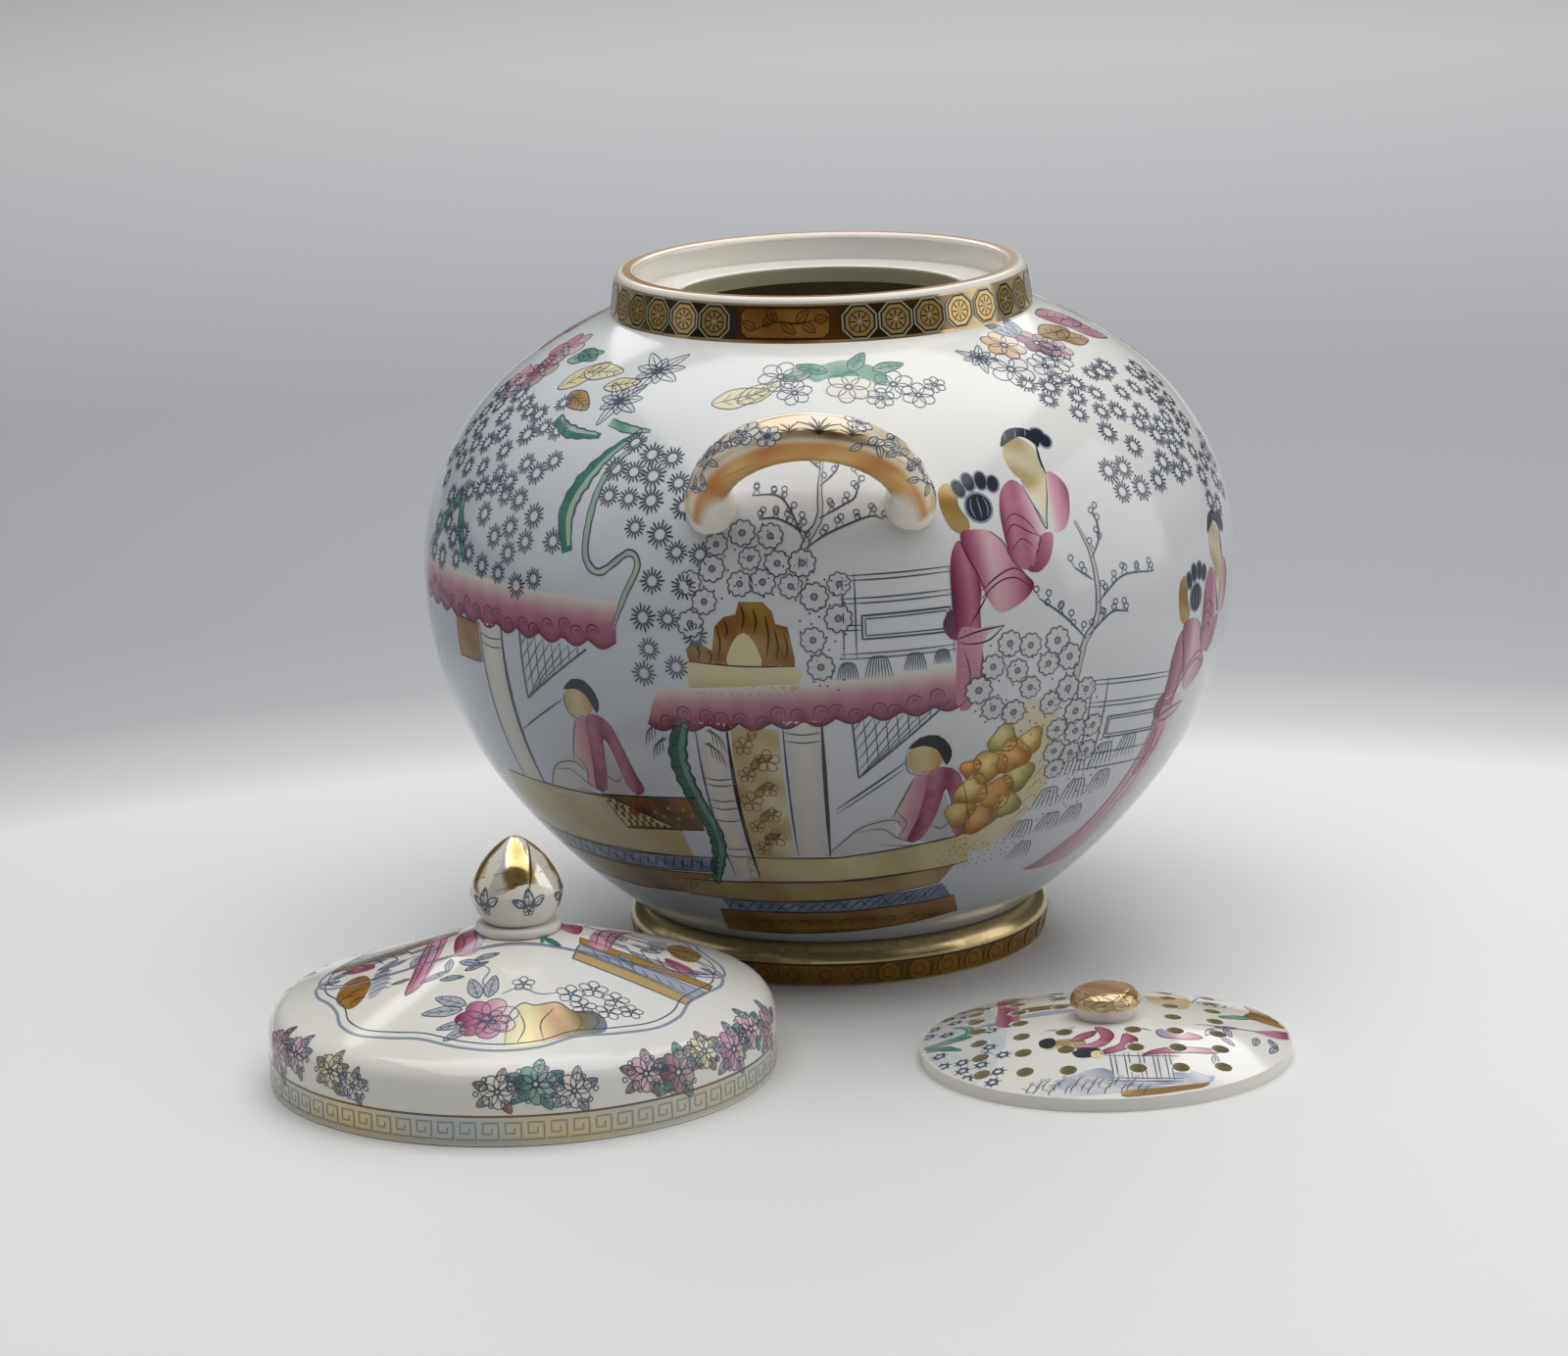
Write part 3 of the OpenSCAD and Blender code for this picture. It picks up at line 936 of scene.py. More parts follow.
class Palette:
    """Plain tuples of the colours in use, and mixtures of them."""

    def __init__(self, colours):
        for name in colours.__annotations__:
            setattr(self, name, tuple(getattr(colours, name)))
        self.pale = blend(self.glaze, linear("c9cfe0"), 0.6)
        self.straw = linear("e3d8a6")
        self.hair = linear("2b2d38")
        self.grey = blend(self.ink, self.glaze, 0.45)
        self.slate = linear("8d97ad")
        self.rust = linear("8a5a20")
        self.rose = linear("dca6b7")
        self.peach = linear("e3c08e")
        self.tile = linear("7484a8")
        self.pale_tile = linear("a3afc9")
        self.leaf_gold = (*linear("c79a4e"), 0.85)


def fade(*stops):
    """A paint that runs through colours by height: stops are (height, colour) from low to high."""

    def paint(x, y):
        for (a, p), (b, q) in zip(stops, stops[1:]):
            if y <= b:
                return blend(p, q, (y - a) / (b - a))
        return stops[-1][1]

    return paint


def across(x0, x1, *colours):
    """A paint that runs evenly through colours from x0 to x1."""

    def paint(x, y):
        t = min(max((x - x0) / (x1 - x0), 0.0), 1.0) * (len(colours) - 1)
        i = min(int(t), len(colours) - 2)
        return blend(colours[i], colours[i + 1], t - i)

    return paint


def mottled(a, b, seed, size):
    """A paint of two colours in soft patches of about that size."""
    offset = 7.3 * seed

    def paint(x, y):
        t = sin(x / size + offset) + sin(1.7 * y / size + 2 * offset)
        t += sin((x + y) / (0.6 * size) + offset)
        return blend(a, b, 0.5 + t / 4)

    return paint


def oval(x, y, rx, ry, turn=0.0, count=14):
    """Points round an oval."""
    c, d = cos(radians(turn)), sin(radians(turn))
    found = []
    for i in range(count):
        u, v = rx * cos(TURN * i / count), ry * sin(TURN * i / count)
        found.append((x + u * c - v * d, y + u * d + v * c))
    return found


def bough(pen, points, widths, paint, edge, edge_width=0.5, streak=None):
    """A branch of changing width along a curve, drawn at its edges, with a lighter streak if one is given."""
    pts = even(points, 2.0 / pen.size)
    left, right = [], []
    for i, p in enumerate(pts):
        t = i / (len(pts) - 1) * (len(widths) - 1)
        k = min(int(t), len(widths) - 2)
        w = widths[k] + (widths[k + 1] - widths[k]) * (t - k)
        w *= 1 + 0.09 * sin(1.9 * i) + 0.05 * sin(4.1 * i)
        d = (pts[min(i + 1, len(pts) - 1)] - pts[max(i - 1, 0)]).normalized() * w / 2
        left.append((p.x - d.y, p.y + d.x))
        right.append((p.x + d.y, p.y - d.x))
    pen.wash(left + right[::-1], paint, smooth=False, grid=2.2)
    if streak:
        rows = [(Vector(a), Vector(b)) for a, b in zip(left, right)][1:-1]
        pen.wash([a.lerp(b, 0.12) for a, b in rows] + [a.lerp(b, 0.45) for a, b in rows[::-1]], streak, 0.06,
                 smooth=False, grid=2.2)
        for i, (a, b) in enumerate(rows):
            pen.line([b, b.lerp(a, 0.3 + 0.15 * sin(2.7 * i))], 0.4, edge, 0.08)
    pen.line(left, edge_width, edge)
    pen.line(right, 0.7 * edge_width, edge)


def leaf(pen, x, y, length, width, turn, c, paint=None, veins=3, ink=None):
    """A pointed leaf from its stalk, with a mid rib and side veins."""
    sub = Pen(pen.ink, *pen.to(x, y), pen.size, turn)
    half = width / 2
    side = [(0, 0), (0.3 * length, half), (0.65 * length, 0.85 * half), (length, 0)]
    other = [(p, -q) for p, q in side[2:0:-1]]
    ink = ink or c.ink
    if paint:
        sub.wash(side + other, paint, grid=2.0)
    sub.line(side + other, 0.35, ink, closed=True)
    sub.line([(0, 0), (0.9 * length, 0)], 0.3, ink)
    for i in range(veins):
        p = length * (0.2 + 0.55 * i / max(veins - 1, 1))
        sub.line([(p, 0), (p + 0.16 * length, 0.6 * half)], 0.22, ink)
        sub.line([(p, 0), (p + 0.16 * length, -0.6 * half)], 0.22, ink)


def bloom(pen, x, y, r, petals, c, paint=None, open_eye=True, ink=None):
    """An open flower of round petals about a small eye."""
    ink = ink or c.ink
    for i in range(petals):
        a = TURN * i / petals + 0.3
        px, py = x + 0.6 * r * cos(a), y + 0.6 * r * sin(a)
        ring = oval(px, py, 0.48 * r, 0.40 * r, degrees(a), 10)
        if paint:
            pen.wash(ring, paint, grid=1.6)
        pen.line(ring, 0.32, ink, closed=True)
    if open_eye:
        pen.ring(x, y, 0.2 * r, 0.3, ink)


def frond_bloom(pen, x, y, r, petals, c):
    """A flower of long narrow petals in outline only."""
    for i in range(petals):
        leaf(pen, x, y, r * (0.8 + 0.25 * sin(2.4 * i)), 0.34 * r, 360 * i / petals + 17, c, veins=1)
    pen.ring(x, y, 0.16 * r, 0.4, c.ink)


def tuft(pen, x, y, r, c, blades):
    """A fan of drooping grass."""
    for i in range(blades):
        t = -1 + 2 * i / (blades - 1)
        pen.line([(x, y + 0.8 * r), (x + 0.6 * r * t, y + 0.6 * r), (x + r * t, y - 0.8 * r)], 0.38, c.ink)


def scallop(x, start, pitch, depth):
    """Drop of a scalloped edge at x."""
    return depth * abs(sin(pi * (x - start) / pitch))


def roof(pen, c, x0, x1, low, high):
    """A tiled roof edge: a pink wash that deepens to a scalloped lower rim."""
    count = int((x1 - x0) / 1.6)
    xs = [x0 + (x1 - x0) * i / count for i in range(count + 1)]
    rim = [(x, low(x)) for x in xs]
    ring = rim + [(x, high(x)) for x in xs[::-4]]

    def paint(x, y):
        t = (y - low(x)) / max(high(x) - low(x), 1.0)
        if t < 0.22:
            return blend(c.crimson, blend(c.crimson, c.pink, 0.55), t / 0.22)
        if t < 0.55:
            return blend(blend(c.crimson, c.pink, 0.55), c.pink, (t - 0.22) / 0.33)
        return blend(c.pink, c.glaze, (t - 0.55) / 0.45)

    pen.wash(ring, paint, smooth=False, grid=2.2)
    pen.line(rim, 0.7, blend(c.crimson, c.hair, 0.4), smooth=False)
    dark = blend(c.crimson, c.hair, 0.55)
    x, i = x0 + 5.0, 0
    while x < x1 - 8:
        y = low(x) + 4.2 + 1.2 * sin(i)
        pen.line([(x, y - 2.0), (x + 0.4, y + 0.8), (x + 2.4, y + 1.6), (x + 4.4, y + 0.6),
                  (x + 4.8, y - 1.6)], 0.4, dark)
        pen.line([(x + 1.6, y - 1.2), (x + 2.4, y + 0.2), (x + 3.6, y - 0.4), (x + 3.0, y - 1.4)], 0.3, dark)
        x, i = x + 6.4 + 1.5 * sin(2.1 * i), i + 1


def lattice(pen, c, a, b, d, count):
    """A hanging blind: a triangle with crossed lines."""
    a, b, d = Vector(a), Vector(b), Vector(d)
    pen.line([a, b, d], 0.7, c.ink, smooth=False, taper=0.0)
    for i in range(1, count):
        t = i / count
        pen.line([a.lerp(d, t), b.lerp(d, t)], 0.35, c.ink, smooth=False)
        pen.line([a.lerp(d, t), a.lerp(b, min(1.0, 1.6 * t))], 0.35, c.ink, smooth=False)


def seated(pen, c):
    """A figure that sits in profile in a pink coat, about the middle of its plain head."""
    pen.wash(oval(0, 0, 6.1, 6.4), across(-6, 6, blend(c.straw, c.ochre, 0.5), c.straw, c.leaf_gold[:3]))
    pen.wash([(-6, 4), (-2, 8.2), (4, 8.4), (8, 4.4), (9, 0), (7.4, -3.4), (5.6, 0), (3.6, 3.2), (-1, 5)],
             c.hair, 0.07)
    pen.line([(-6.1, 3), (-6.4, -1), (-5, -5), (-1.5, -6.6)], 0.35, c.ink)
    pen.wash(
        [(-3, -7), (2, -5), (2, -14), (0, -25), (-3, -36), (-7, -35), (-5, -28), (-9, -24), (-6, -15)],
        across(-8, 2, blend(c.glaze, c.rose, 0.35), c.rose, c.pink),
    )
    pen.wash(
        [(2, -5), (7, -4), (12, -7), (15, -16), (17, -26), (18.6, -33), (14.5, -36), (11.5, -31), (10.6, -21),
         (8, -13), (6.5, -20), (4.4, -29), (1.5, -36), (-3, -36), (-0.5, -25), (1, -14)],
        across(-1, 17, c.crimson, c.pink, c.crimson, c.pink, c.crimson),
        0.06,
    )
    pen.wash([(7, -15), (10, -22), (11, -31), (13.6, -35), (2, -37), (4.4, -29)],
             blend(c.pale, c.slate, 0.25), 0.045)
    pen.wash([(-9, -24), (-19, -27), (-26, -37), (-29, -42), (-8, -39), (-4, -36), (-7, -33)],
             blend(c.glaze, c.pale, 0.7))
    pen.line([(-29, -42), (-25, -36), (-19, -28), (-9, -25), (-5, -29)], 0.45, c.ink)
    pen.line([(-20, -30), (-12, -29), (-6, -34), (0, -37)], 0.35, c.ink)
    pen.line([(-3, -7), (-6, -15), (-9, -24)], 0.45, c.ink)
    pen.line([(-8, -21), (-4, -27), (-6, -34)], 0.3, c.ink)
    pen.line([(4.4, -29), (8, -31), (11, -28)], 0.4, c.ink)
    pen.line([(-12, -37), (-2, -38.5), (8, -37.5), (15, -36)], 0.4, c.ink)
    pen.line([(12, -7), (15, -16), (17, -26), (18.6, -33)], 0.3, blend(c.crimson, c.hair, 0.5))


def hair_knots(pen, c, x, y):
    """Dressed hair: a fan of knots over a rolled bun, each with a pale comb line."""
    knots = ((-5, 7, 2.0, 2.9), (-1, 9, 2.0, 3.1), (3.4, 9, 2.0, 3.1), (7.2, 7.4, 2.0, 2.8))
    for i, (dx, dy, rx, ry) in enumerate(knots):
        pen.wash(oval(x + dx, y + dy, rx + 0.6, ry + 0.6, 8 * (1 - i)), c.slate, 0.06, grid=1.6)
        pen.wash(oval(x + dx, y + dy, rx, ry, 8 * (1 - i)), c.hair, 0.08, grid=1.6)
    pen.wash(oval(x, y, 5.0, 5.4), c.slate, 0.06, grid=2.0)
    pen.wash(oval(x, y, 4.3, 4.7), c.hair, 0.085, grid=2.0)
    for dx in (-2, 0.2, 2.3):
        pen.line([(x + dx, y + 3.4), (x + 1.35 * dx, y), (x + dx, y - 3.4)], 0.4, c.slate, 0.12)


def standing_pair(pen, c):
    """Two robed figures that stand close together, with plain gilt faces."""
    dark = blend(c.crimson, c.hair, 0.5)
    face = mottled((*blend(c.straw, c.glaze, 0.5), 0.05), (*blend(c.straw, c.ochre, 0.5), 0.2), 1, 4.0)
    pen.wash(oval(5.6, 20.5, 6.4, 8.4, 8), face, grid=2.4)
    pen.wash([(2.6, 14.4), (5, 7), (8, 0), (10.6, 7), (12.6, 15)], face, 0.06, grid=2.4)
    for x, y, rx, ry in ((14.6, 28, 3.0, 2.8), (17, 25.6, 2.2, 2.4)):
        pen.wash(oval(x, y, rx + 0.7, ry + 0.7), c.slate, 0.06, grid=2.0)
        pen.wash(oval(x, y, rx, ry), c.hair, 0.08, grid=2.0)
    pen.wash([(-0.6, 26), (2.6, 31), (7, 32.4), (12, 31), (14.6, 27), (13.4, 23.6), (11.6, 26.4), (8, 28.8),
              (3.2, 27.4)], c.hair, 0.09, grid=2.0)
    for dx in (2, 6, 10):
        pen.line([(dx, 28.4), (dx + 0.8, 30), (dx + 1, 31.6)], 0.35, c.slate, 0.13)
    pen.line([(12.8, 25), (12, 19), (12.4, 14)], 0.8, c.hair)
    pen.wash(
        [(-9, -5), (-8.6, 4), (-6, 11), (-1, 14), (2, 11), (4, 5), (7.4, -3), (4, -6), (2, -11), (0, -15),
         (-4, -16), (-8, -12)],
        across(-9, 7, c.crimson, c.pink, blend(c.pink, c.crimson, 0.35), c.rose, c.glaze),
        grid=2.2,
    )
    pen.wash([(-3, -16), (0, -14), (4, -6), (9, -6), (6, -14), (1, -17.5)], across(-3, 9, c.crimson, c.pink),
             grid=2.2)
    pen.wash([(12, 14), (16, 13.4), (19, 8), (17.4, 0), (14, -5), (9, -5), (10, 2)],
             across(9, 19, c.glaze, c.rose, c.pink, c.crimson), grid=2.0)
    pen.wash([(2, 12), (4, 5), (6, 0), (8, -3), (10, 2), (12, 13), (10.6, 7), (8, 1), (5, 7)],
             blend(c.glaze, c.pale, 0.6), 0.07, grid=2.0)
    pen.line([(4, 5), (5, 1), (7, -4), (8, 0), (10, 6), (12, 13)], 0.5, c.hair)
    pen.line([(2, 12), (4, 5), (7.4, -3)], 0.35, c.ink)
    pen.line([(-9, -5), (-5, -1), (0, -4), (4, -6)], 0.4, dark)
    folds = [(-8, 0), (-4, 2.5), (0, 0), (3, -5)], [(-7, -9), (-3, -6), (1, -9)], [(0, -14), (3, -9), (4, -6)]
    pen.lines(folds, 0.35, dark)
    pen.wash(
        [(-28, 4), (-28.4, 9), (-27, 13.6), (-23.6, 15.4), (-21.6, 12), (-22, 7), (-20, 2), (-21, -1.6),
         (-24, -2), (-26.6, 0)],
        mottled((*blend(c.ochre, c.straw, 0.3), 0.2), (*c.ochre, 0.3), 2, 4.0),
        grid=2.0,
    )
    hair_knots(pen, c, -15.5, 6)
    pen.wash(
        [(-25, -4), (-29, -10), (-30, -22), (-30, -34), (-28, -44), (-28.6, -52), (-20, -52), (-21, -38),
         (-21, -26), (-20, -20), (-22, -10)],
        across(-30, -20, c.crimson, blend(c.crimson, c.pink, 0.4), c.pink, c.crimson),
        grid=2.2,
    )
    pen.wash(
        [(-24, -2), (-20, -1), (-14, -2), (-10, -6), (-8, -12), (-4, -17), (-1, -21), (-4, -25), (-10, -28),
         (-14.5, -28.5), (-18, -24), (-21, -16), (-24, -8)],
        across(-24, -2, c.crimson, blend(c.crimson, c.pink, 0.7), blend(c.glaze, c.rose, 0.7), c.rose, c.pink,
               c.crimson),
        0.06,
        grid=2.0,
    )
    pen.wash([(-34, -30), (-31, -26), (-29, -30), (-30, -36), (-33, -34)], c.crimson, 0.07, grid=2.0)
    pen.wash([(-29, -34), (-22, -33), (-13, -33), (-20, -37), (-23, -58), (-29, -58)],
             lambda x, y: blend(across(-29, -13, c.pink, c.rose, c.glaze)(x, y), c.pink, (-38 - y) / 14),
             0.055, grid=2.2)
    pen.line([(-20, -21), (-14, -17), (-8, -15), (-4, -17)], 0.5, dark)
    pen.line([(-21, -24), (-14, -19), (-8, -18), (-3, -21)], 0.45, dark)
    pen.line([(-25, -32), (-20, -25), (-18, -22)], 0.5, dark)
    pen.line([(-30, -36), (-22, -34), (-13, -33)], 0.6, c.hair)
    pen.line([(-13, -33), (-18, -37), (-24, -38), (-29, -37)], 0.5, c.hair)
    pen.line([(-27, -40), (-25, -48), (-26, -57)], 0.45, dark)
    pen.line([(-25, -4), (-22, -12), (-19, -20)], 0.5, dark)
    pen.line([(-14, -2), (-10, -6), (-8, -12), (-4, -17)], 0.45, c.ink)


def long_robes(pen, c):
    """Skirts that reach the ground, below a standing pair."""
    pen.wash(
        [(-30, -30), (-32, -52), (-36, -78), (-46, -97), (-50, -101), (-34, -103), (-22, -98), (-16, -70),
         (-14, -40), (-16, -30)],
        across(-44, -14, c.pink, c.rose, blend(c.rose, c.glaze, 0.4), c.glaze),
    )
    for x in (-30, -25, -20):
        pen.line([(x, -40), (x - 3, -66), (x - 8, -96)], 0.4, c.pink)


class FlatSkin(Skin):
    """A flat sheet, for a motif that is set out many times afterwards."""

    def __init__(self):
        self.r0 = 1.0

    def place(self, x, s, lift):
        return x * MM, s * MM, lift * MM

    def stretch(self, s):
        return 1.0


def band_faces(rows, sides):
    """Faces between rows of points that each close round a piece."""
    found = []
    for i in range(rows):
        for j in range(sides):
            k = (j + 1) % sides
            found.append((i * sides + j, i * sides + k, (i + 1) * sides + k, (i + 1) * sides + j))
    return found


def girdle(ink, s0, s1, tint, lift=BAND_LIFT, sides=288, rows=1):
    """A band all the way round a turned skin."""
    places, tints = [], []
    for i in range(rows + 1):
        s = s0 + (s1 - s0) * i / rows
        for j in range(sides):
            x = ink.skin.r0 * TURN * j / sides
            places.append(ink.skin.place(x, s, lift))
            tints.append(tint(x, s) if callable(tint) else tint)
    ink.add(places, band_faces(rows, sides), tints)


def crown(ink, top, tint):
    """Closes a girdle over a turned piece whose top is at that height."""
    skin, sides = ink.skin, 96
    high = skin.outline.length - 0.1
    places = [skin.place(skin.r0 * TURN * j / sides, high, BAND_LIFT) for j in range(sides)]
    places.append((skin.cx * MM, skin.cy * MM, (top + BAND_LIFT) * MM))
    ink.add(places, [(j, (j + 1) % sides, sides) for j in range(sides)], [tint] * (sides + 1))


def repeat(ink, cx=0.0, cy=0.0):
    """Draws what there is so far again, half a turn round the axis of a piece."""
    x, y = 2 * cx * MM, 2 * cy * MM
    ink.add([(x - p[0], y - p[1], p[2]) for p in ink.points], list(ink.faces), list(ink.tints))


def plum(pen, c, stem, branches):
    """A thin leaning tree whose twigs carry round buds."""
    bough(pen, stem, (2.8, 2.2, 1.6, 0.8), blend(c.glaze, c.slate, 0.35), c.ink, 0.5)
    for n, branch in enumerate(branches):
        pen.line(branch, 0.7, c.ink, taper=0.5)
        pts = even(branch, 3.3)
        for i, p in enumerate(pts[1:]):
            side = 1.0 if (i + n) % 2 else -1.0
            q = (p.x + side * (1.2 + 0.5 * sin(i + n)), p.y + 1.6 + 0.9 * sin(1.7 * i + n))
            pen.line([p, q], 0.32, c.ink)
            pen.ring(q[0], q[1] + 0.95, 1.0, 0.36, c.ink)


def sprinkle(ring, gap, seed):
    """Scattered places within an outline, none nearer to another than the gap."""
    ring = [Vector(p) for p in ring]
    rng = random.Random(seed)
    found = []
    x0, x1 = min(p.x for p in ring), max(p.x for p in ring)
    y0, y1 = min(p.y for p in ring), max(p.y for p in ring)
    for _ in range(900):
        p = Vector((rng.uniform(x0, x1), rng.uniform(y0, y1)))
        if inside(p, ring) and all((p - q).length > gap for q in found):
            found.append(p)
    return found


def ray(a, start, end):
    """A line out from the middle at an angle in radians."""
    return [(r * cos(a), r * sin(a)) for r in (start, end)]


def star_motif(pen, c):
    """A round pine tuft: a clear middle and dark rays."""
    pen.ring(0, 0, 2.1, 0.8, blend(c.ink, c.glaze, 0.35), 0.03)
    for i in range(16):
        pen.line(ray(TURN * i / 16, 1.7, 4.5 if i % 2 else 3.9), 0.6, c.ink, 0.07, taper=0.7)


def rosette_motif(pen, c):
    """A scalloped rosette: a pale ground, a lobed outline and a small eye."""
    rim = []
    for i in range(36):
        a = TURN * i / 36
        r = 3.5 + 0.8 * abs(sin(4.5 * a))
        rim.append((r * cos(a), r * sin(a)))
    pen.wash(rim, blend(c.glaze, c.pale, 0.8), 0.06, smooth=False, grid=2.0)
    pen.line(rim, 0.4, c.ink, closed=True)
    pen.wash(oval(0, 0, 0.9, 0.9, count=8), c.slate, 0.09, grid=1.5)
    pen.ring(0, 0, 1.0, 0.35, c.ink)


def octagon_motif(pen, c):
    """A framed reserve with a rayed middle, as on the neck."""
    frame, gilt = (*linear("a8a79a"), 0.2), (*linear("cdae6c"), 0.55)
    eight = polygon_points(6.1, 8)
    pen.wash(eight, (*c.brown, 0.4), 0.02, smooth=False, grid=2.5)
    pen.line(eight, 0.6, frame, 0.05, closed=True, smooth=False)
    pen.wash(polygon_points(5.1, 8), gilt, 0.05, smooth=False, grid=2.0)
    for i in range(8):
        pen.line(ray(TURN * i / 8, 0.9, 3.4), 0.6, c.brown, 0.08)
    pen.ring(0, 0, 3.5, 0.4, c.brown, 0.09)
    pen.dot(0, 0, 0.7, frame, 0.09)


def polygon_points(r, sides):
    """Corners of an upright regular figure."""
    return [polar(0.0, 0.0, r, 360 * (i + 0.5) / sides) for i in range(sides)]


def roundel_motif(pen, c):
    """An outlined reserve, as on the foot."""
    line = (*linear("8f7440"), 0.5)
    pen.wash(polygon_points(3.6, 8), (*linear("a5752e"), 0.7), 0.02, smooth=False, grid=2.0)
    pen.line(polygon_points(3.6, 8), 0.4, line, 0.05, closed=True, smooth=False)
    pen.ring(0, 0, 2.0, 0.4, c.brown, 0.05)
    pen.line([(5.2, -2.6), (5.2, 2.6)], 0.5, line, 0.05)


def key_motif(pen, c):
    """One turn of a square key fret."""
    faint = blend(linear("a59a74"), c.slate, 0.35)
    pen.line([(-3.4, -2.9), (3.0, -2.9), (3.0, 2.6), (-1.9, 2.6), (-1.9, -0.9), (1.0, -0.9), (1.0, 0.9)],
             0.5, faint, 0.04, smooth=False, taper=0.0)


def motif(name, draw, c):
    """A flat mesh of one motif."""
    ink = Ink(FlatSkin())
    draw(Pen(ink), c)
    return ink.mesh(name, the_material("print"))


def new_tree(name, kinds):
    """A node tree with one geometry output, and the outputs of its input node by their names."""
    tree = bpy.data.node_groups.new(name, "GeometryNodeTree")
    tree.interface.new_socket("Geometry", in_out="OUTPUT", socket_type="NodeSocketGeometry")
    for socket, kind in kinds:
        tree.interface.new_socket(socket, in_out="INPUT", socket_type="NodeSocket" + kind)
    return tree, tree.nodes.new("NodeGroupInput").outputs


def add_instances(tree, start, points, rotation, scale=(1.0, 1.0, 1.0)):
    """The end that both trees share: a motif on every point, realised and given its material."""
    shape = add_node(tree, "GeometryNodeObjectInfo", {"Object": start["Motif"]}, "Geometry")
    inputs = {"Points": points, "Instance": shape, "Rotation": rotation, "Scale": scale}
    copies = add_node(tree, "GeometryNodeInstanceOnPoints", inputs)
    real = add_node(tree, "GeometryNodeRealizeInstances", {"Geometry": copies})
    done = add_node(tree, "GeometryNodeSetMaterial", {"Geometry": real, "Material": start["Material"]})
    tree.links.new(done, tree.nodes.new("NodeGroupOutput").inputs["Geometry"])


def scatter_tree():
    """Sets a motif on every point of a mesh, by the point's own facing, spin and size."""
    kinds = (("Points", "Geometry"), ("Motif", "Object"), ("Size", "Float"), ("Material", "Material"))
    tree, start = new_tree("scatter_motif", kinds)
    own = {}
    for name, kind in (("facing", "FLOAT_VECTOR"), ("spin", "FLOAT"), ("size", "FLOAT")):
        own[name] = add_node(tree, "GeometryNodeInputNamedAttribute", {"Name": name}, "Attribute",
                             data_type=kind)
    align = add_node(tree, "FunctionNodeAlignRotationToVector", {"Vector": own["facing"]}, axis="Z")
    spin = add_node(tree, "FunctionNodeAxisAngleToRotation", {"Axis": UP, "Angle": own["spin"]})
    inputs = {"Rotation": align, "Rotate By": spin}
    turn = add_node(tree, "FunctionNodeRotateRotation", inputs, rotation_space="LOCAL")
    size = add_node(tree, "ShaderNodeMath", {0: own["size"], 1: start["Size"]}, operation="MULTIPLY")
    add_instances(tree, start, start["Points"], turn, size)
    return tree


def ring_tree():
    """Sets a motif at even steps round an upright ring, with places left out in each half."""
    kinds = (("Points", "Geometry"), ("Motif", "Object"), ("Count", "Int"), ("Skip", "Int"),
             ("Radius", "Float"), ("Middle", "Vector"), ("Turn", "Float"), ("Lean", "Float"),
             ("Material", "Material"))
    tree, start = new_tree("ring_motif", kinds)
    count, middle = start["Count"], start["Middle"]
    circle = add_node(tree, "GeometryNodeMeshCircle", {"Vertices": count, "Radius": start["Radius"]})
    half = add_node(tree, "FunctionNodeIntegerMath", {0: count, 1: 2}, operation="DIVIDE")
    index = add_node(tree, "GeometryNodeInputIndex")
    place = add_node(tree, "FunctionNodeIntegerMath", {0: index, 1: half}, operation="MODULO")
    inputs = {"A": place, "B": start["Skip"]}
    left_out = add_node(tree, "FunctionNodeCompare", inputs, data_type="INT", operation="LESS_THAN")
    kept = add_node(tree, "GeometryNodeDeleteGeometry", {"Geometry": circle, "Selection": left_out})
    turn = add_node(tree, "ShaderNodeCombineXYZ", {"Z": start["Turn"]})
    inputs = {"Geometry": kept, "Translation": middle, "Rotation": turn}
    ring = add_node(tree, "GeometryNodeTransform", inputs)
    where = add_node(tree, "GeometryNodeInputPosition")
    out = add_node(tree, "ShaderNodeVectorMath", {0: where, 1: middle}, operation="SUBTRACT")
    unit = add_node(tree, "ShaderNodeVectorMath", {0: out}, operation="NORMALIZE")
    lean = add_node(tree, "ShaderNodeCombineXYZ", {"Z": start["Lean"]})
    facing = add_node(tree, "ShaderNodeVectorMath", {0: unit, 1: lean}, operation="ADD")
    align = add_node(tree, "FunctionNodeAlignRotationToVector", {"Vector": facing}, axis="Z")
    inputs = {"Vector": UP, "Rotation": align}
    upright = add_node(tree, "FunctionNodeAlignRotationToVector", inputs, axis="Y", pivot_axis="Z")
    add_instances(tree, start, ring, upright)
    return tree


def grow(ob, name, make_tree, values):
    """Runs a node tree on an object, keeps the plain mesh that it gives and drops the motif."""
    tree = bpy.data.node_groups.get(name) or make_tree()
    modifier = ob.modifiers.new(tree.name, "NODES")
    modifier.node_group = tree
    for socket, value in values.items():
        modifier[tree.interface.items_tree[socket].identifier] = value
    graph = bpy.context.evaluated_depsgraph_get()
    mesh = bpy.data.meshes.new_from_object(ob.evaluated_get(graph), preserve_all_data_layers=True,
                                           depsgraph=graph)
    ob.modifiers.clear()
    ob.data = mesh
    bpy.data.objects.remove(values["Motif"])
    if not mesh.polygons:
        raise RuntimeError(f"{ob.name} came out empty")
    return ob


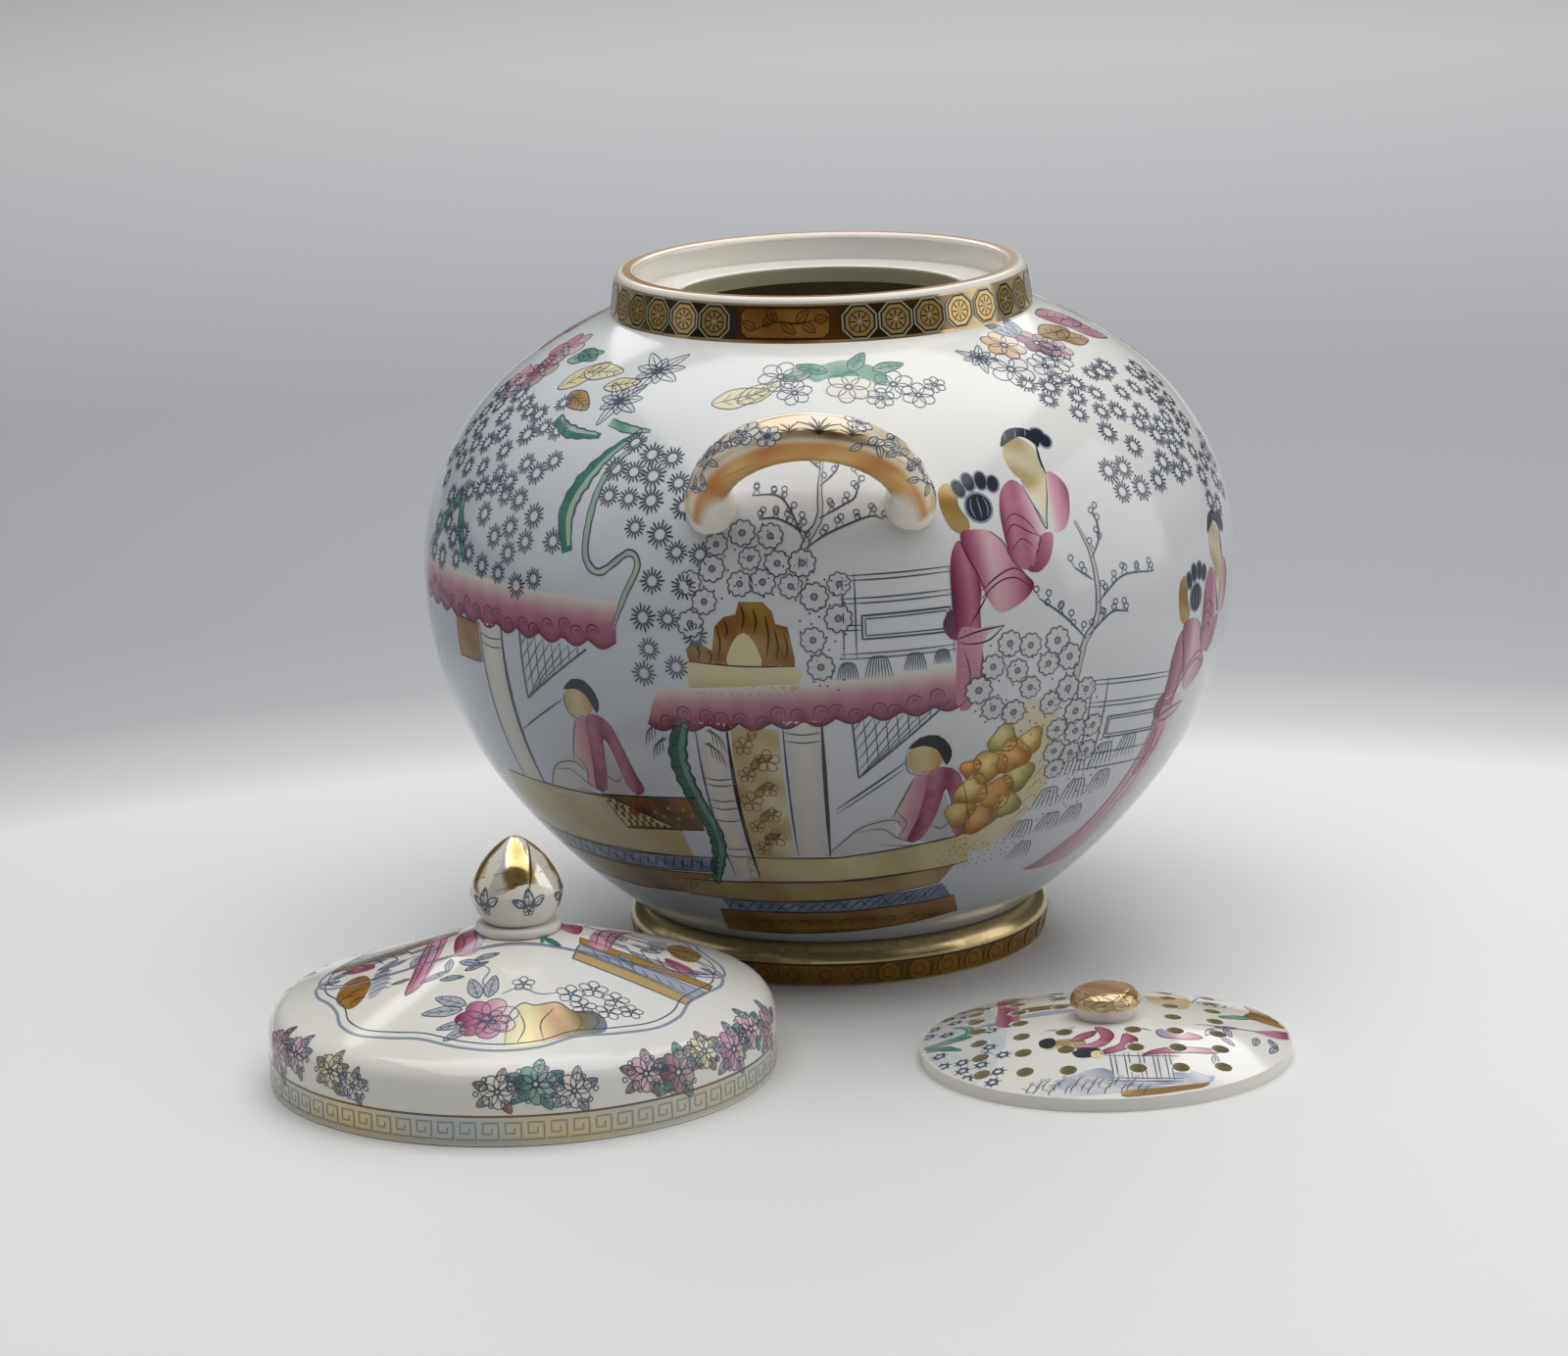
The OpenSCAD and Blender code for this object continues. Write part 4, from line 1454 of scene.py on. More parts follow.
def scatter(name, skin, places, draw, c, size, seed):
    """A motif at places of a skin and again half a turn on, each a little turned and sized."""
    rng = random.Random(seed)
    half = pi * skin.r0
    spots = [(x + k * half, s) for k in (0, 1) for x, s in places]
    ob = make_object(name, [skin.place(x, s, 0.02) for x, s in spots], [], the_material("bowl_print"))
    facing = ob.data.attributes.new("facing", "FLOAT_VECTOR", "POINT")
    facing.data.foreach_set("vector", [v for p in spots for v in skin.facing(*p)])
    for key, low, high in (("spin", 0.0, TURN), ("size", 0.88, 1.12)):
        values = [rng.uniform(low, high) for _ in spots]
        ob.data.attributes.new(key, "FLOAT", "POINT").data.foreach_set("value", values)
    values = {"Motif": motif(name + "_motif", draw, c), "Size": size, "Material": the_material("bowl_print")}
    return grow(ob, "scatter_motif", scatter_tree, values)


def ring_of(name, draw, c, count, radius, middle, turn=0.0, lean=0.0, skip=0):
    """A motif at even steps round a turned piece, in millimetres and degrees."""
    ob = make_object(name, [], [], the_material("print"))
    values = {
        "Motif": motif(name + "_motif", draw, c),
        "Count": count,
        "Skip": skip,
        "Radius": radius * MM,
        "Middle": tuple(v * MM for v in middle),
        "Turn": radians(turn),
        "Lean": lean,
        "Material": the_material("print"),
    }
    return grow(ob, "ring_motif", ring_tree, values)


def draw_pine(pen, c):
    """A pine that leans in from the left, over its tufts."""
    deep = blend(c.teal, c.hair, 0.35)
    pale = blend(c.teal, c.glaze, 0.45)
    bough(pen, [(-79, 217), (-90, 206), (-97, 194), (-99, 184), (-95, 172)], (2, 4, 7, 7, 4),
          mottled(c.teal, deep, 1, 4), c.ink, 0.5, pale)
    bough(pen, [(-97, 219), (-86, 217), (-75, 217)], (3, 3.4, 1), mottled(c.teal, pale, 2, 4), c.ink)
    bough(pen, [(-128, 217), (-116, 213), (-98, 213)], (4, 5, 2), mottled(c.teal, deep, 3, 4), c.ink, 0.5,
          pale)
    bough(
        pen,
        [(-75, 214), (-84, 205), (-88, 194), (-88, 178), (-86, 170), (-80, 167), (-70, 174), (-66, 170),
         (-70, 160), (-74, 149)],
        (0.8, 2, 2.4, 2.6, 2.4, 2.2, 2, 2, 2, 0.8),
        mottled(blend(pale, c.teal, 0.4), blend(pale, c.glaze, 0.5), 4, 5),
        c.ink,
        0.6,
    )
    bough(pen, [(-190, 156), (-174, 172), (-163, 187)], (4, 5, 2), mottled(c.teal, pale, 5, 4), c.ink)
    bough(pen, [(-166, 186), (-159, 173), (-150, 161)], (2, 4, 3), mottled(c.teal, pale, 6, 4), c.ink)


def draw_rock(pen, c):
    """A garden rock with a hollow, on a pale bank."""
    pen.wash(
        [(-48, 144), (-45, 147), (-39, 144), (-38, 152), (-35, 155), (-31, 156), (-30, 160), (-22, 160),
         (-19, 157), (-18, 153), (-14, 152), (-12, 142), (-12, 139), (-30, 139), (-47, 140)],
        mottled(c.rust, c.ochre, 3, 3.0),
        smooth=False,
        grid=2.0,
    )
    pen.wash([(-34, 139), (-32, 147), (-28.5, 150), (-25, 147), (-23, 139)], c.straw, 0.07)
    for x, low, high in ((-44, 141, 145), (-40, 140, 144), (-37, 141, 152), (-34.5, 148, 154),
                         (-29, 151, 159), (-25, 150, 158), (-21, 142, 156), (-18, 141, 151), (-15, 141, 150)):
        pen.line([(x, low), (x + 0.8, (low + high) / 2), (x - 0.3, high)], 0.6, blend(c.brown, c.hair, 0.3))
    pen.wash(
        [(-47, 139.6), (-12, 139), (-11, 134), (-13, 130), (-30, 129), (-45, 129.5), (-48, 134)],
        fade((129, blend(c.ochre, c.straw, 0.35)), (135, c.straw), (140, blend(c.straw, c.glaze, 0.3))),
    )
    pen.line([(-48, 140), (-30, 139), (-12, 139)], 0.5, c.brown)


def panel_frame(pen, c, x0, x1, tops, lows):
    """A fence panel's frame in two lines, the inner one finer."""
    for inset, width in ((0.0, 0.6), (1.1, 0.4)):
        a, b = x0 + inset, x1 - inset
        frame = [(a, tops[0] - inset), (b, tops[1] - inset), (b, lows[1] + inset), (a, lows[0] + inset)]
        pen.line(frame, width, c.ink, closed=True, smooth=False)


def draw_fence(pen, c):
    """Garden rails with a framed panel, and grass at its foot."""
    for y in (168, 166.4, 160.6, 159, 142.6, 141):
        pen.line([(3, y), (22, y + 0.3), (41, y + 1.0)], 0.45, c.ink)
    panel_frame(pen, c, 10, 39, (155, 156), (147.4, 148))
    for x in (4, 8, 40):
        pen.line([(x, 169), (x, 141)], 0.5, c.ink)
    pen.lines([[(3, y), (10, y)] for y in (152, 150.4)], 0.4, c.ink)
    for x, y, r in ((5, 137, 3.6), (15, 138, 4.6), (27, 139, 3.8), (36, 140, 3)):
        tuft(pen, x, y, r, c, 9)


def draw_fence_right(pen, c):
    """The slanting fence to the right, with grass down the bank."""
    for a, b in ((124, 119), (122.4, 117.4), (116, 111), (114.4, 109.4), (96, 92), (90, 86)):
        pen.line([(92, a), (134, b)], 0.45, c.ink)
    panel_frame(pen, c, 103, 132, (109, 106), (101, 98))
    for x in (93, 100, 134):
        pen.line([(x, 124), (x, 88)], 0.5, c.ink)
    for x, y in ((92, 93), (105, 94), (118, 95), (84, 80), (97, 81), (110, 82), (78, 66), (91, 67), (103, 68),
                 (84, 54)):
        tuft(pen, x, y, 6.0, c, 6)


def column(pen, c, x0, x1, low, high, rings):
    """A round post in outline, shaded to one side, with turned rings."""
    pen.wash([(x0, high), (x1, high), (x1 + 1, low), (x0 + 1, low)], across(x0, x1, c.pale, c.glaze, c.pale),
             smooth=False, grid=3.0)
    pen.line([(x0, high), (x0 + 1, low)], 0.8, c.ink)
    pen.line([(x1, high), (x1 + 1, low)], 1.5, c.hair)
    for s in rings:
        pen.line([(x0, s), ((x0 + x1) / 2, s - 0.9), (x1 + 0.4, s)], 0.45, c.ink)


def strip(pen, c, low, high, paint, grid=3.2):
    """A floor strip between a lower and an upper edge, each drawn."""
    pen.wash(low + high[::-1], paint, smooth=False, grid=grid)
    for side in (low, high):
        pen.line(side, 0.7, c.hair, smooth=False)


def zigzag(pen, c, low, high, pitch):
    """Slanting marks to and fro between two edges."""
    a, b = even(low, pitch, smooth=False), even(high, pitch, smooth=False)
    for i in range(min(len(a), len(b)) - 1):
        pen.line([a[i].lerp(b[i], 0.12), a[i + 1].lerp(b[i + 1], 0.88)], 0.6, c.hair)
        if i % 2:
            pen.line([a[i].lerp(b[i], 0.88), a[i + 1].lerp(b[i + 1], 0.12)], 0.5, c.hair)


def draw_terrace(pen, c):
    """The middle pavilion's floor: boards, a patterned strip and the bank below."""
    board = mottled(blend(c.ochre, c.straw, 0.5), c.straw, 2, 9.0)
    strip(pen, c, [(-40, 47), (0, 47.5), (42, 51), (58, 53)], [(-38, 61), (0, 61), (30, 65), (52, 69)], board)
    strip(pen, c, [(-78, 35), (-30, 34), (10, 36), (48, 42)], [(-78, 45), (-40, 46.5), (10, 47.5), (52, 52)],
          mottled(c.ochre, blend(c.ochre, c.straw, 0.35), 3, 8.0))
    low, high = [(-60, 26.5), (0, 27), (40, 30), (58, 32)], [(-60, 33.6), (0, 34.6), (38, 38.6), (50, 41)]
    strip(pen, c, low, high, mottled(c.tile, c.pale_tile, 6, 5.0))
    zigzag(pen, c, low, high, 5.5)
    strip(pen, c, [(-74, 9), (-30, 9), (10, 11), (48, 15), (70, 19)],
          [(-66, 26), (0, 26.6), (40, 29.5), (60, 32)],
          mottled(c.rust, c.ochre, 4, 9.0))
    for x in range(-60, 60, 12):
        s = 17 + 0.035 * (x + 60)
        pen.line([(x, s), (x + 4, s + 2), (x + 8, s), (x + 6, s - 3)], 0.4, c.brown)


def draw_terrace_left(pen, c):
    """The left pavilion's floor: boards, a studded sill, a patterned strip and the bank below."""
    floor = mottled(blend(c.ochre, c.straw, 0.5), blend(c.straw, c.slate, 0.25), 5, 9.0)
    strip(pen, c, [(-165, 59), (-120, 58), (-62, 59)], [(-150, 85), (-110, 85), (-88, 85), (-62, 73)], floor)
    strip(pen, c, [(-88, 71), (-70, 73), (-52, 74)], [(-93, 86), (-78, 87), (-52, 89)],
          mottled(c.rust, c.brown, 6, 4.0))
    for i in range(12):
        pen.dot(-89 + 3.1 * i, 79.5 + 0.2 * i + 2.4 * sin(2.6 * i), 0.75, c.leaf_gold)
    low, high = [(-155, 49), (-100, 49), (-52, 51.5)], [(-155, 57), (-100, 57), (-50, 60)]
    strip(pen, c, low, high, mottled(c.tile, c.pale_tile, 6, 5.0))
    zigzag(pen, c, low, high, 5.0)
    strip(pen, c, [(-160, 34), (-110, 34), (-78, 36)], [(-160, 48), (-100, 48), (-54, 50)],
          mottled(c.ochre, c.rust, 7, 8.0))


def draw_pavilion(pen, c):
    """The middle pavilion: eaves, posts, a gold screen and a hanging blind, with a figure that sits below."""
    bough(
        pen,
        [(-51, 120), (-54.5, 108), (-54, 98), (-51, 86), (-48, 74), (-49, 64), (-53, 54), (-58, 44)],
        (5, 6.5, 6.5, 6, 6, 6, 5, 3),
        mottled(blend(c.teal, c.hair, 0.3), blend(c.teal, c.hair, 0.6), 8, 4.0),
        c.hair,
        0.6,
        blend(c.teal, c.glaze, 0.12),
    )
    for x, y, way in ((-60, 117, -1), (-58, 112, -1), (-43, 116, 1), (-44, 111, 1)):
        for i in range(4):
            pen.line([(x, y), (x + way * (1.5 + i), y + 0.5 - i), (x + way * (2 + 1.4 * i), y - 5 - i)], 0.4,
                     c.ink)
    column(pen, c, -47, -36, 50, 119, (98, 95.5, 89, 85.5, 80, 66, 62))
    screen = mottled(blend(c.ochre, c.straw, 0.35), blend(c.straw, c.pale, 0.3), 5, 5.0)
    pen.wash([(-34.5, 118), (-18.5, 117), (-17, 62), (-36, 61)], screen, smooth=False, grid=2.2)
    for i in range(9):
        x, y = -30 + 6 * (i % 2) + sin(3 * i), 66 + 5.6 * i
        bloom(pen, x, y, 3.4 + 0.8 * sin(2 * i), 5, c, None, False, c.rust)
        leaf(pen, x + 2, y + 2, 6, 2.6, 60 + 140 * (i % 2), c, blend(c.ochre, c.rust, 0.3), 2, c.rust)
    column(pen, c, -17, -4, 62, 120, (116, 113))
    lattice(pen, c, (6, 120), (8, 98), (39, 125), 9)
    pen.line([(0, 85), (24, 103)], 0.7, c.ink)
    pen.line([(0, 83), (24, 100.6)], 0.4, c.ink)
    roof(pen, c, -64, 44, lambda x: 120.5 + 0.06 * (x + 10) - scallop(x, -64, 10.8, 2.6),
         lambda x: 130 + 0.06 * (x + 64))
    seated(Pen(pen.ink, 31, 104), c)


def draw_pavilion_left(pen, c):
    """The left pavilion: a post, a rail, a hanging blind and eaves, with a figure that sits below."""
    column(pen, c, -138, -125, 85, 143, (139, 136))
    strip(pen, c, [(-156, 128), (-139, 128.5)], [(-156, 142), (-139, 142)], mottled(c.rust, c.ochre, 9, 4.0),
          grid=2.4)
    lattice(pen, c, (-115, 143), (-115, 120), (-85, 141), 8)
    pen.line([(-123, 107), (-98, 122)], 0.7, c.ink)
    roof(pen, c, -192, -73, lambda x: 144.5 - scallop(x, -192, 10.8, 2.8), lambda x: 158)
    seated(Pen(pen.ink, -91, 122, 0.95), c)


def ball(x, y, r, light, dark):
    """A paint for a round lump, lit from above its middle."""
    return lambda px, py: blend(light, dark, (hypot(px - x + 0.3 * r, py - y - 0.3 * r) / r - 0.25))


def draw_bundle(pen, c):
    """A bundle of gilt lumps against a pale bush."""
    lights = [(*linear(code), 0.5) for code in ("f3dc92", "efc07c", "e2dc9e")]
    darks = [(*linear(code), 0.3) for code in ("a07c2c", "b0702c", "87803c")]
    pen.wash([(50, 62), (64, 59), (75, 71), (82, 92), (81, 110), (73, 121), (62, 118), (56, 109), (51, 90)],
             mottled(c.straw, blend(c.straw, c.glaze, 0.5), 3, 6.0))
    lumps = ((47, 79, 5.6), (56, 75, 6.2), (66, 80, 5.6), (50, 89, 6.0), (60, 86, 6.6), (68, 92, 5.6),
             (55, 98, 6.0), (64, 101, 6.2), (59, 108, 5.0), (70, 106, 4.6), (48, 98, 3.6))
    for i, (x, y, r) in enumerate(lumps):
        rim = [polar(x, y, r * (1.05 + 0.17 * sin(radians(3 * a + 70 * i))), a) for a in range(0, 360, 24)]
        pen.wash(rim, ball(x, y, r, lights[i % 3], darks[i % 3]), 0.07, grid=1.9)
        pen.line(rim, 0.3, blend(c.rust, c.ochre, 0.4), closed=True)
    for i in range(7):
        pen.line([(70 + i, 66 + 6 * i), (74 + i, 71 + 6 * i), (78 + 0.4 * i, 69 + 6 * i)], 0.35, c.grey)


def stipple(pen, c, ring, gap, seed):
    """Small dots of print strewn within an outline."""
    for p in sprinkle(ring, gap, seed):
        pen.dot(p.x, p.y, 0.38, c.ink, sides=6)


SHOULDER = (
    ("bloom", -184, 243, 9.5, 0, "pink"),
    ("bloom", -178, 232, 8.5, 0, "crimson"),
    ("bloom", -192, 224, 8.0, 0, "rose"),
    ("leaf", -166, 240, 16, 30, "teal"),
    ("leaf", -164, 246, 14, -10, "teal"),
    ("leaf", -176, 222, 14, 200, "slate"),
    ("leaf", -146, 228, 20, 55, "straw"),
    ("leaf", -140, 238, 18, 10, "straw"),
    ("leaf", -134, 228, 16, -20, "ochre"),
    ("frond", -92, 244, 12.0, 0, ""),
    ("frond", -100, 228, 11.0, 0, ""),
    ("leaf", -116, 233, 14, 20, "straw"),
    ("leaf", -52, 230, 19, 22, "straw"),
    ("leaf", -40, 231, 16, 40, "straw"),
    ("bloom", -22, 244, 7.0, 0, ""),
    ("bloom", -14, 236, 5.4, 0, ""),
    ("bloom", 34, 238, 6.4, 0, ""),
    ("bloom", 44, 232, 5.4, 0, ""),
    ("bloom", 26, 232, 4.4, 0, ""),
    ("bloom", 54, 236, 3.6, 0, ""),
    ("frond", 88, 246, 8.0, 0, ""),
    ("bloom", 100, 238, 8.0, 0, ""),
    ("bloom", 112, 250, 7.5, 0, "peach"),
    ("leaf", 128, 252, 13, 110, "slate"),
    ("leaf", 132, 253, 12, 60, "slate"),
    ("bloom", 122, 236, 6.0, 0, ""),
    ("bloom", 134, 238, 6.5, 0, ""),
    ("bloom", 136, 247, 7.0, 0, "crimson"),
    ("bloom", 145, 242, 6.0, 0, "rose"),
    ("leaf", 148, 250, 20, -8, "ochre"),
    ("leaf", 158, 246, 18, -20, "ochre"),
    ("leaf", 176, 258, 26, -30, "pink"),
    ("leaf", 186, 250, 24, -40, "pink"),
)


def draw_shoulder(ink, c):
    """Loose flower sprays round the shoulder."""
    flat = Pen(ink, flat=True)
    light = blend(c.teal, c.glaze, 0.4)
    flat.wash([(-10, 246), (0, 250), (12, 252), (24, 249), (32, 244), (30, 238), (18, 240), (4, 243),
               (-4, 241)], mottled(c.teal, light, 2, 5.0))
    for x, turn in ((-6, 200), (2, 160), (14, 60), (26, 10)):
        leaf(Pen(ink, x, 246), 0, 0, 11, 5, turn, c, mottled(c.teal, light, x, 3.0))
    flat.wash(oval(12, 238, 13, 5.4), c.glaze, 0.07)
    bloom(Pen(ink, 12, 238), 0, 0, 7.0, 6, c)
    for kind, x, s, size, turn, colour in SHOULDER:
        pen = Pen(ink, x, s)
        paint = getattr(c, colour) if colour else None
        if kind == "leaf":
            leaf(pen, 0, 0, size, 0.46 * size, turn, c, mottled(paint, blend(paint, c.glaze, 0.4), x, 3.0), 4)
        elif kind == "bloom":
            petals = across(-size, size, paint, blend(paint, c.glaze, 0.6)) if paint else None
            bloom(pen, 0, 0, size, 6, c, petals)
        else:
            frond_bloom(pen, 0, 0, size, 9, c)


def draw_bowl(ink, c):
    """One side of the bowl: two pavilions in a garden with figures and trees, and sprays above."""
    pen = Pen(ink, flat=True)
    draw_shoulder(ink, c)
    draw_terrace_left(pen, c)
    draw_pavilion_left(pen, c)
    draw_pine(pen, c)
    draw_terrace(pen, c)
    draw_rock(pen, c)
    draw_fence(pen, c)
    plum(
        pen,
        c,
        [(-9, 164), (-8, 178), (-3, 187), (-2.5, 198), (-1, 212)],
        ([(-8, 179), (-13, 190), (-18, 195), (-27, 195)], [(-3, 187), (5, 191), (10, 194), (12, 201)],
         [(-8, 177), (0, 182), (14, 187), (19, 186)], [(-7, 182), (-17, 187), (-24, 187)],
         [(-2.5, 198), (4, 204), (5, 211)], [(-2, 204), (-8, 209)]),
    )
    draw_pavilion(pen, c)
    draw_bundle(pen, c)
    draw_fence_right(pen, c)
    plum(
        pen,
        c,
        [(84, 120), (88, 137), (94, 147), (94, 165), (90, 178)],
        ([(90, 140), (100, 146), (108, 145)], [(94, 150), (106, 157), (122, 156)],
         [(94, 165), (99, 172), (99, 180)], [(89, 139), (80, 148), (71, 155)], [(93, 158), (86, 163)]),
    )
    standing_pair(Pen(ink, 70.5, 181), c)
    pair = Pen(ink, 163, 136, 0.95)
    long_robes(pair, c)
    standing_pair(pair, c)
    garden = [(-48, 146), (-44, 170), (-22, 186), (-6, 172), (6, 166), (4, 130), (-8, 132), (-12, 160),
              (-34, 162)]
    stipple(pen, c, garden, 2.3, 4)
    stipple(pen, c, [(46, 118), (50, 142), (80, 142), (98, 118), (110, 96), (108, 64), (82, 62), (80, 100)],
            2.6, 5)
    stipple(pen, c, [(42, 60), (52, 64), (66, 62), (78, 66), (84, 58), (72, 52), (58, 50), (44, 50)], 2.4, 6)


def pine_places():
    """Where the pine's tufts stand: a few clusters, close set."""
    clusters = (
        [(-200, 222), (-150, 226), (-128, 223), (-112, 204), (-108, 194), (-140, 190), (-160, 190),
         (-200, 180)],
        [(-182, 178), (-150, 190), (-120, 186), (-100, 176), (-102, 164), (-114, 156), (-140, 160),
         (-182, 158)],
        [(-84, 212), (-60, 213), (-50, 196), (-55, 176), (-68, 180), (-72, 186), (-84, 190)],
        [(-62, 170), (-46, 182), (-42, 170), (-46, 134), (-60, 130), (-68, 140), (-63, 154)],
        [(94, 230), (128, 230), (165, 228), (200, 220), (200, 200), (150, 182), (110, 180), (110, 190),
         (130, 200), (116, 208)],
        [(160, 184), (200, 192), (200, 166), (176, 166)],
    )
    return [tuple(p) for i, ring in enumerate(clusters) for p in sprinkle(ring, 8.2, 11 + i)]


def rosette_places():
    """Where the leaf rosettes stand: about the rock and the right-hand bush."""
    clusters = (
        [(-48, 146), (-47, 166), (-38, 180), (-24, 186), (-12, 178), (-5, 170), (5, 168), (4, 156), (2, 136),
         (-10, 136), (-9, 160), (-20, 165), (-33, 163), (-40, 148)],
        [(46, 120), (52, 142), (66, 144), (78, 142), (90, 122), (98, 110), (96, 95), (80, 90), (80, 108),
         (74, 120), (60, 117)],
    )
    return [tuple(p) for i, ring in enumerate(clusters) for p in sprinkle(ring, 7.6, 21 + i)]


class VASE_OT_bowl_print(bpy.types.Operator):
    """Print and enamel the garden scene on the bowl"""

    bl_idname = "vase.bowl_print"
    bl_label = "Bowl decoration"

    def execute(self, context):
        c = Palette(context.scene.vase_colours)
        skin = bowl_skin(context.scene.vase_sizes)
        ink = Ink(skin)
        draw_bowl(ink, c)
        repeat(ink)
        ink.fit("garden_print", "vase", "white_glaze", material="bowl_print")
        tufts = scatter("pine_tufts", skin, pine_places(), star_motif, c, 1.0, 5)
        fit(tufts, "vase")
        leaves = scatter("leaf_rosettes", skin, rosette_places(), rosette_motif, c, 1.0, 6)
        fit(leaves, "vase")
        return {"FINISHED"}


def draw_cartouche(pen, c):
    """A long reserve with a leafy spray, and the dark bar beside it."""
    ground = (*linear("cf9a4c"), 0.6)
    ring = [(-15, -3), (-13, -5), (13, -5), (15, -3), (15, 3), (13, 5), (-13, 5), (-15, 3)]
    pen.wash(ring, mottled(ground, (*c.rust, 0.4), 3, 5.0), 0.06, smooth=False, grid=2.6)
    pen.line(ring, 0.6, c.brown, 0.1, closed=True, smooth=False)
    pen.line([(-10, -2), (-3, 0.5), (4, 0), (10, 1)], 0.6, c.brown, 0.12)
    for x, y, size, turn in ((-10, -2, 5, 150), (-7, -1, 5.5, 50), (-3, 0.5, 6, 120), (-1, 0.4, 6, -40),
                             (4, 0, 6, 50), (6, 0.4, 5.5, -40), (10, 1, 4.5, 10)):
        leaf(pen, x, y, size, 2.8, turn, c, (*linear("9a6a2c"), 0.4), 1, c.brown)
    pen.wash([(-19.2, -5.4), (-16.2, -5.4), (-16.2, 5.4), (-19.2, 5.4)], blend(c.brown, c.hair, 0.4),
             0.12, smooth=False)


class VASE_OT_neck_print(bpy.types.Operator):
    """Gild the neck's band of framed reserves"""

    bl_idname = "vase.neck_print"
    bl_label = "Neck decoration"

    def execute(self, context):
        z, c = context.scene.vase_sizes, Palette(context.scene.vase_colours)
        ink = Ink(Skin(Outline(neck_parts(z)), z.rim_r))
        gilt, worn = c.leaf_gold, (*linear("d8b98c"), 0.5)
        sill, high, line, rim, mouth = 1.0, 12.3, 13.0, 16.6, 22.0
        girdle(ink, 0.0, sill, mottled(gilt, worn, 1, 9.0))
        dark = mottled((*c.brown, 0.45), (*c.rust, 0.6), 2, 14.0)

        # Painted sheen: the dark ground turns to pale gold where the neck turns away to its sides.
        def ground(x, s):
            turn_from_front = abs((degrees(x / z.rim_r) + 100) % 180 - 90)
            return blend(dark(x, s), (*linear("cdbd8c"), 0.4), (turn_from_front - 42) / 14)

        girdle(ink, sill, high, ground, rows=3)
        girdle(ink, high, line, worn)
        peach = (*linear("dba268"), 0.3)
        girdle(ink, rim, mouth, mottled(peach, (*c.glaze, 0.0), 5, 60.0), rows=4)
        for half in (0, 180):
            draw_cartouche(Pen(ink, z.rim_r * radians(half - 10), 6.6), c)
        ink.fit("neck_band", "vase", "gilt_glaze")
        middle = (0.0, 0.0, neck_z(z) + 6.5)
        frames = ring_of("neck_reserves", octagon_motif, c, 36, 71.05, middle, -110.0, 0.157, 3)
        fit(frames, "vase")
        return {"FINISHED"}


class VASE_OT_foot_print(bpy.types.Operator):
    """Draw the dark band and roundels on the foot"""

    bl_idname = "vase.foot_print"
    bl_label = "Foot decoration"

    def execute(self, context):
        z, c = context.scene.vase_sizes, Palette(context.scene.vase_colours)
        ink = Ink(Skin(Outline(foot_parts(z)), z.foot_r))
        high, line = 7.0, 7.7
        girdle(ink, 0.0, high, mottled((*linear("7d5c26"), 0.7), (*linear("b98a3e"), 0.8), 2, 12.0), rows=2)
        girdle(ink, high, line, blend(c.brown, c.hair, 0.5), 0.05)
        ink.fit("foot_band", "vase", "gilt_glaze")
        rounds = ring_of("foot_roundels", roundel_motif, c, 42, 72.15, (0.0, 0.0, 4.1), 0.0, -0.2)
        fit(rounds, "vase")
        return {"FINISHED"}


def cover_skin(z):
    """The cover's dome and rounded shoulder, drawn on from above."""
    parts, top = cover_parts(z)
    middle, r = parts[1][:2], parts[1][2]
    edge = parts[2][0]
    slope = radians(z.dome_slope)

    def outline(x):
        if x < edge:
            return top - (x - z.collar_r) * tan(slope), cos(slope)
        h = sqrt(max(r * r - (x - middle[0]) ** 2, 0.0))
        return middle[1] + h, h / r

    return PlanSkin(outline, z.cover_r, z.cover_x, z.cover_y)


CARTOUCHE = (
    (-64, 3), (-65, -9), (-60, -21), (-57, -30), (-55, -40), (-49, -49), (-39, -55), (-29, -59), (-17, -66),
    (-4, -69.5), (9, -68), (20, -62), (33, -58), (45, -51.5), (52, -42), (55, -31), (60, -21), (65, -9),
    (63, 4), (50, 12), (24, 15), (-20, 15), (-48, 12),
)


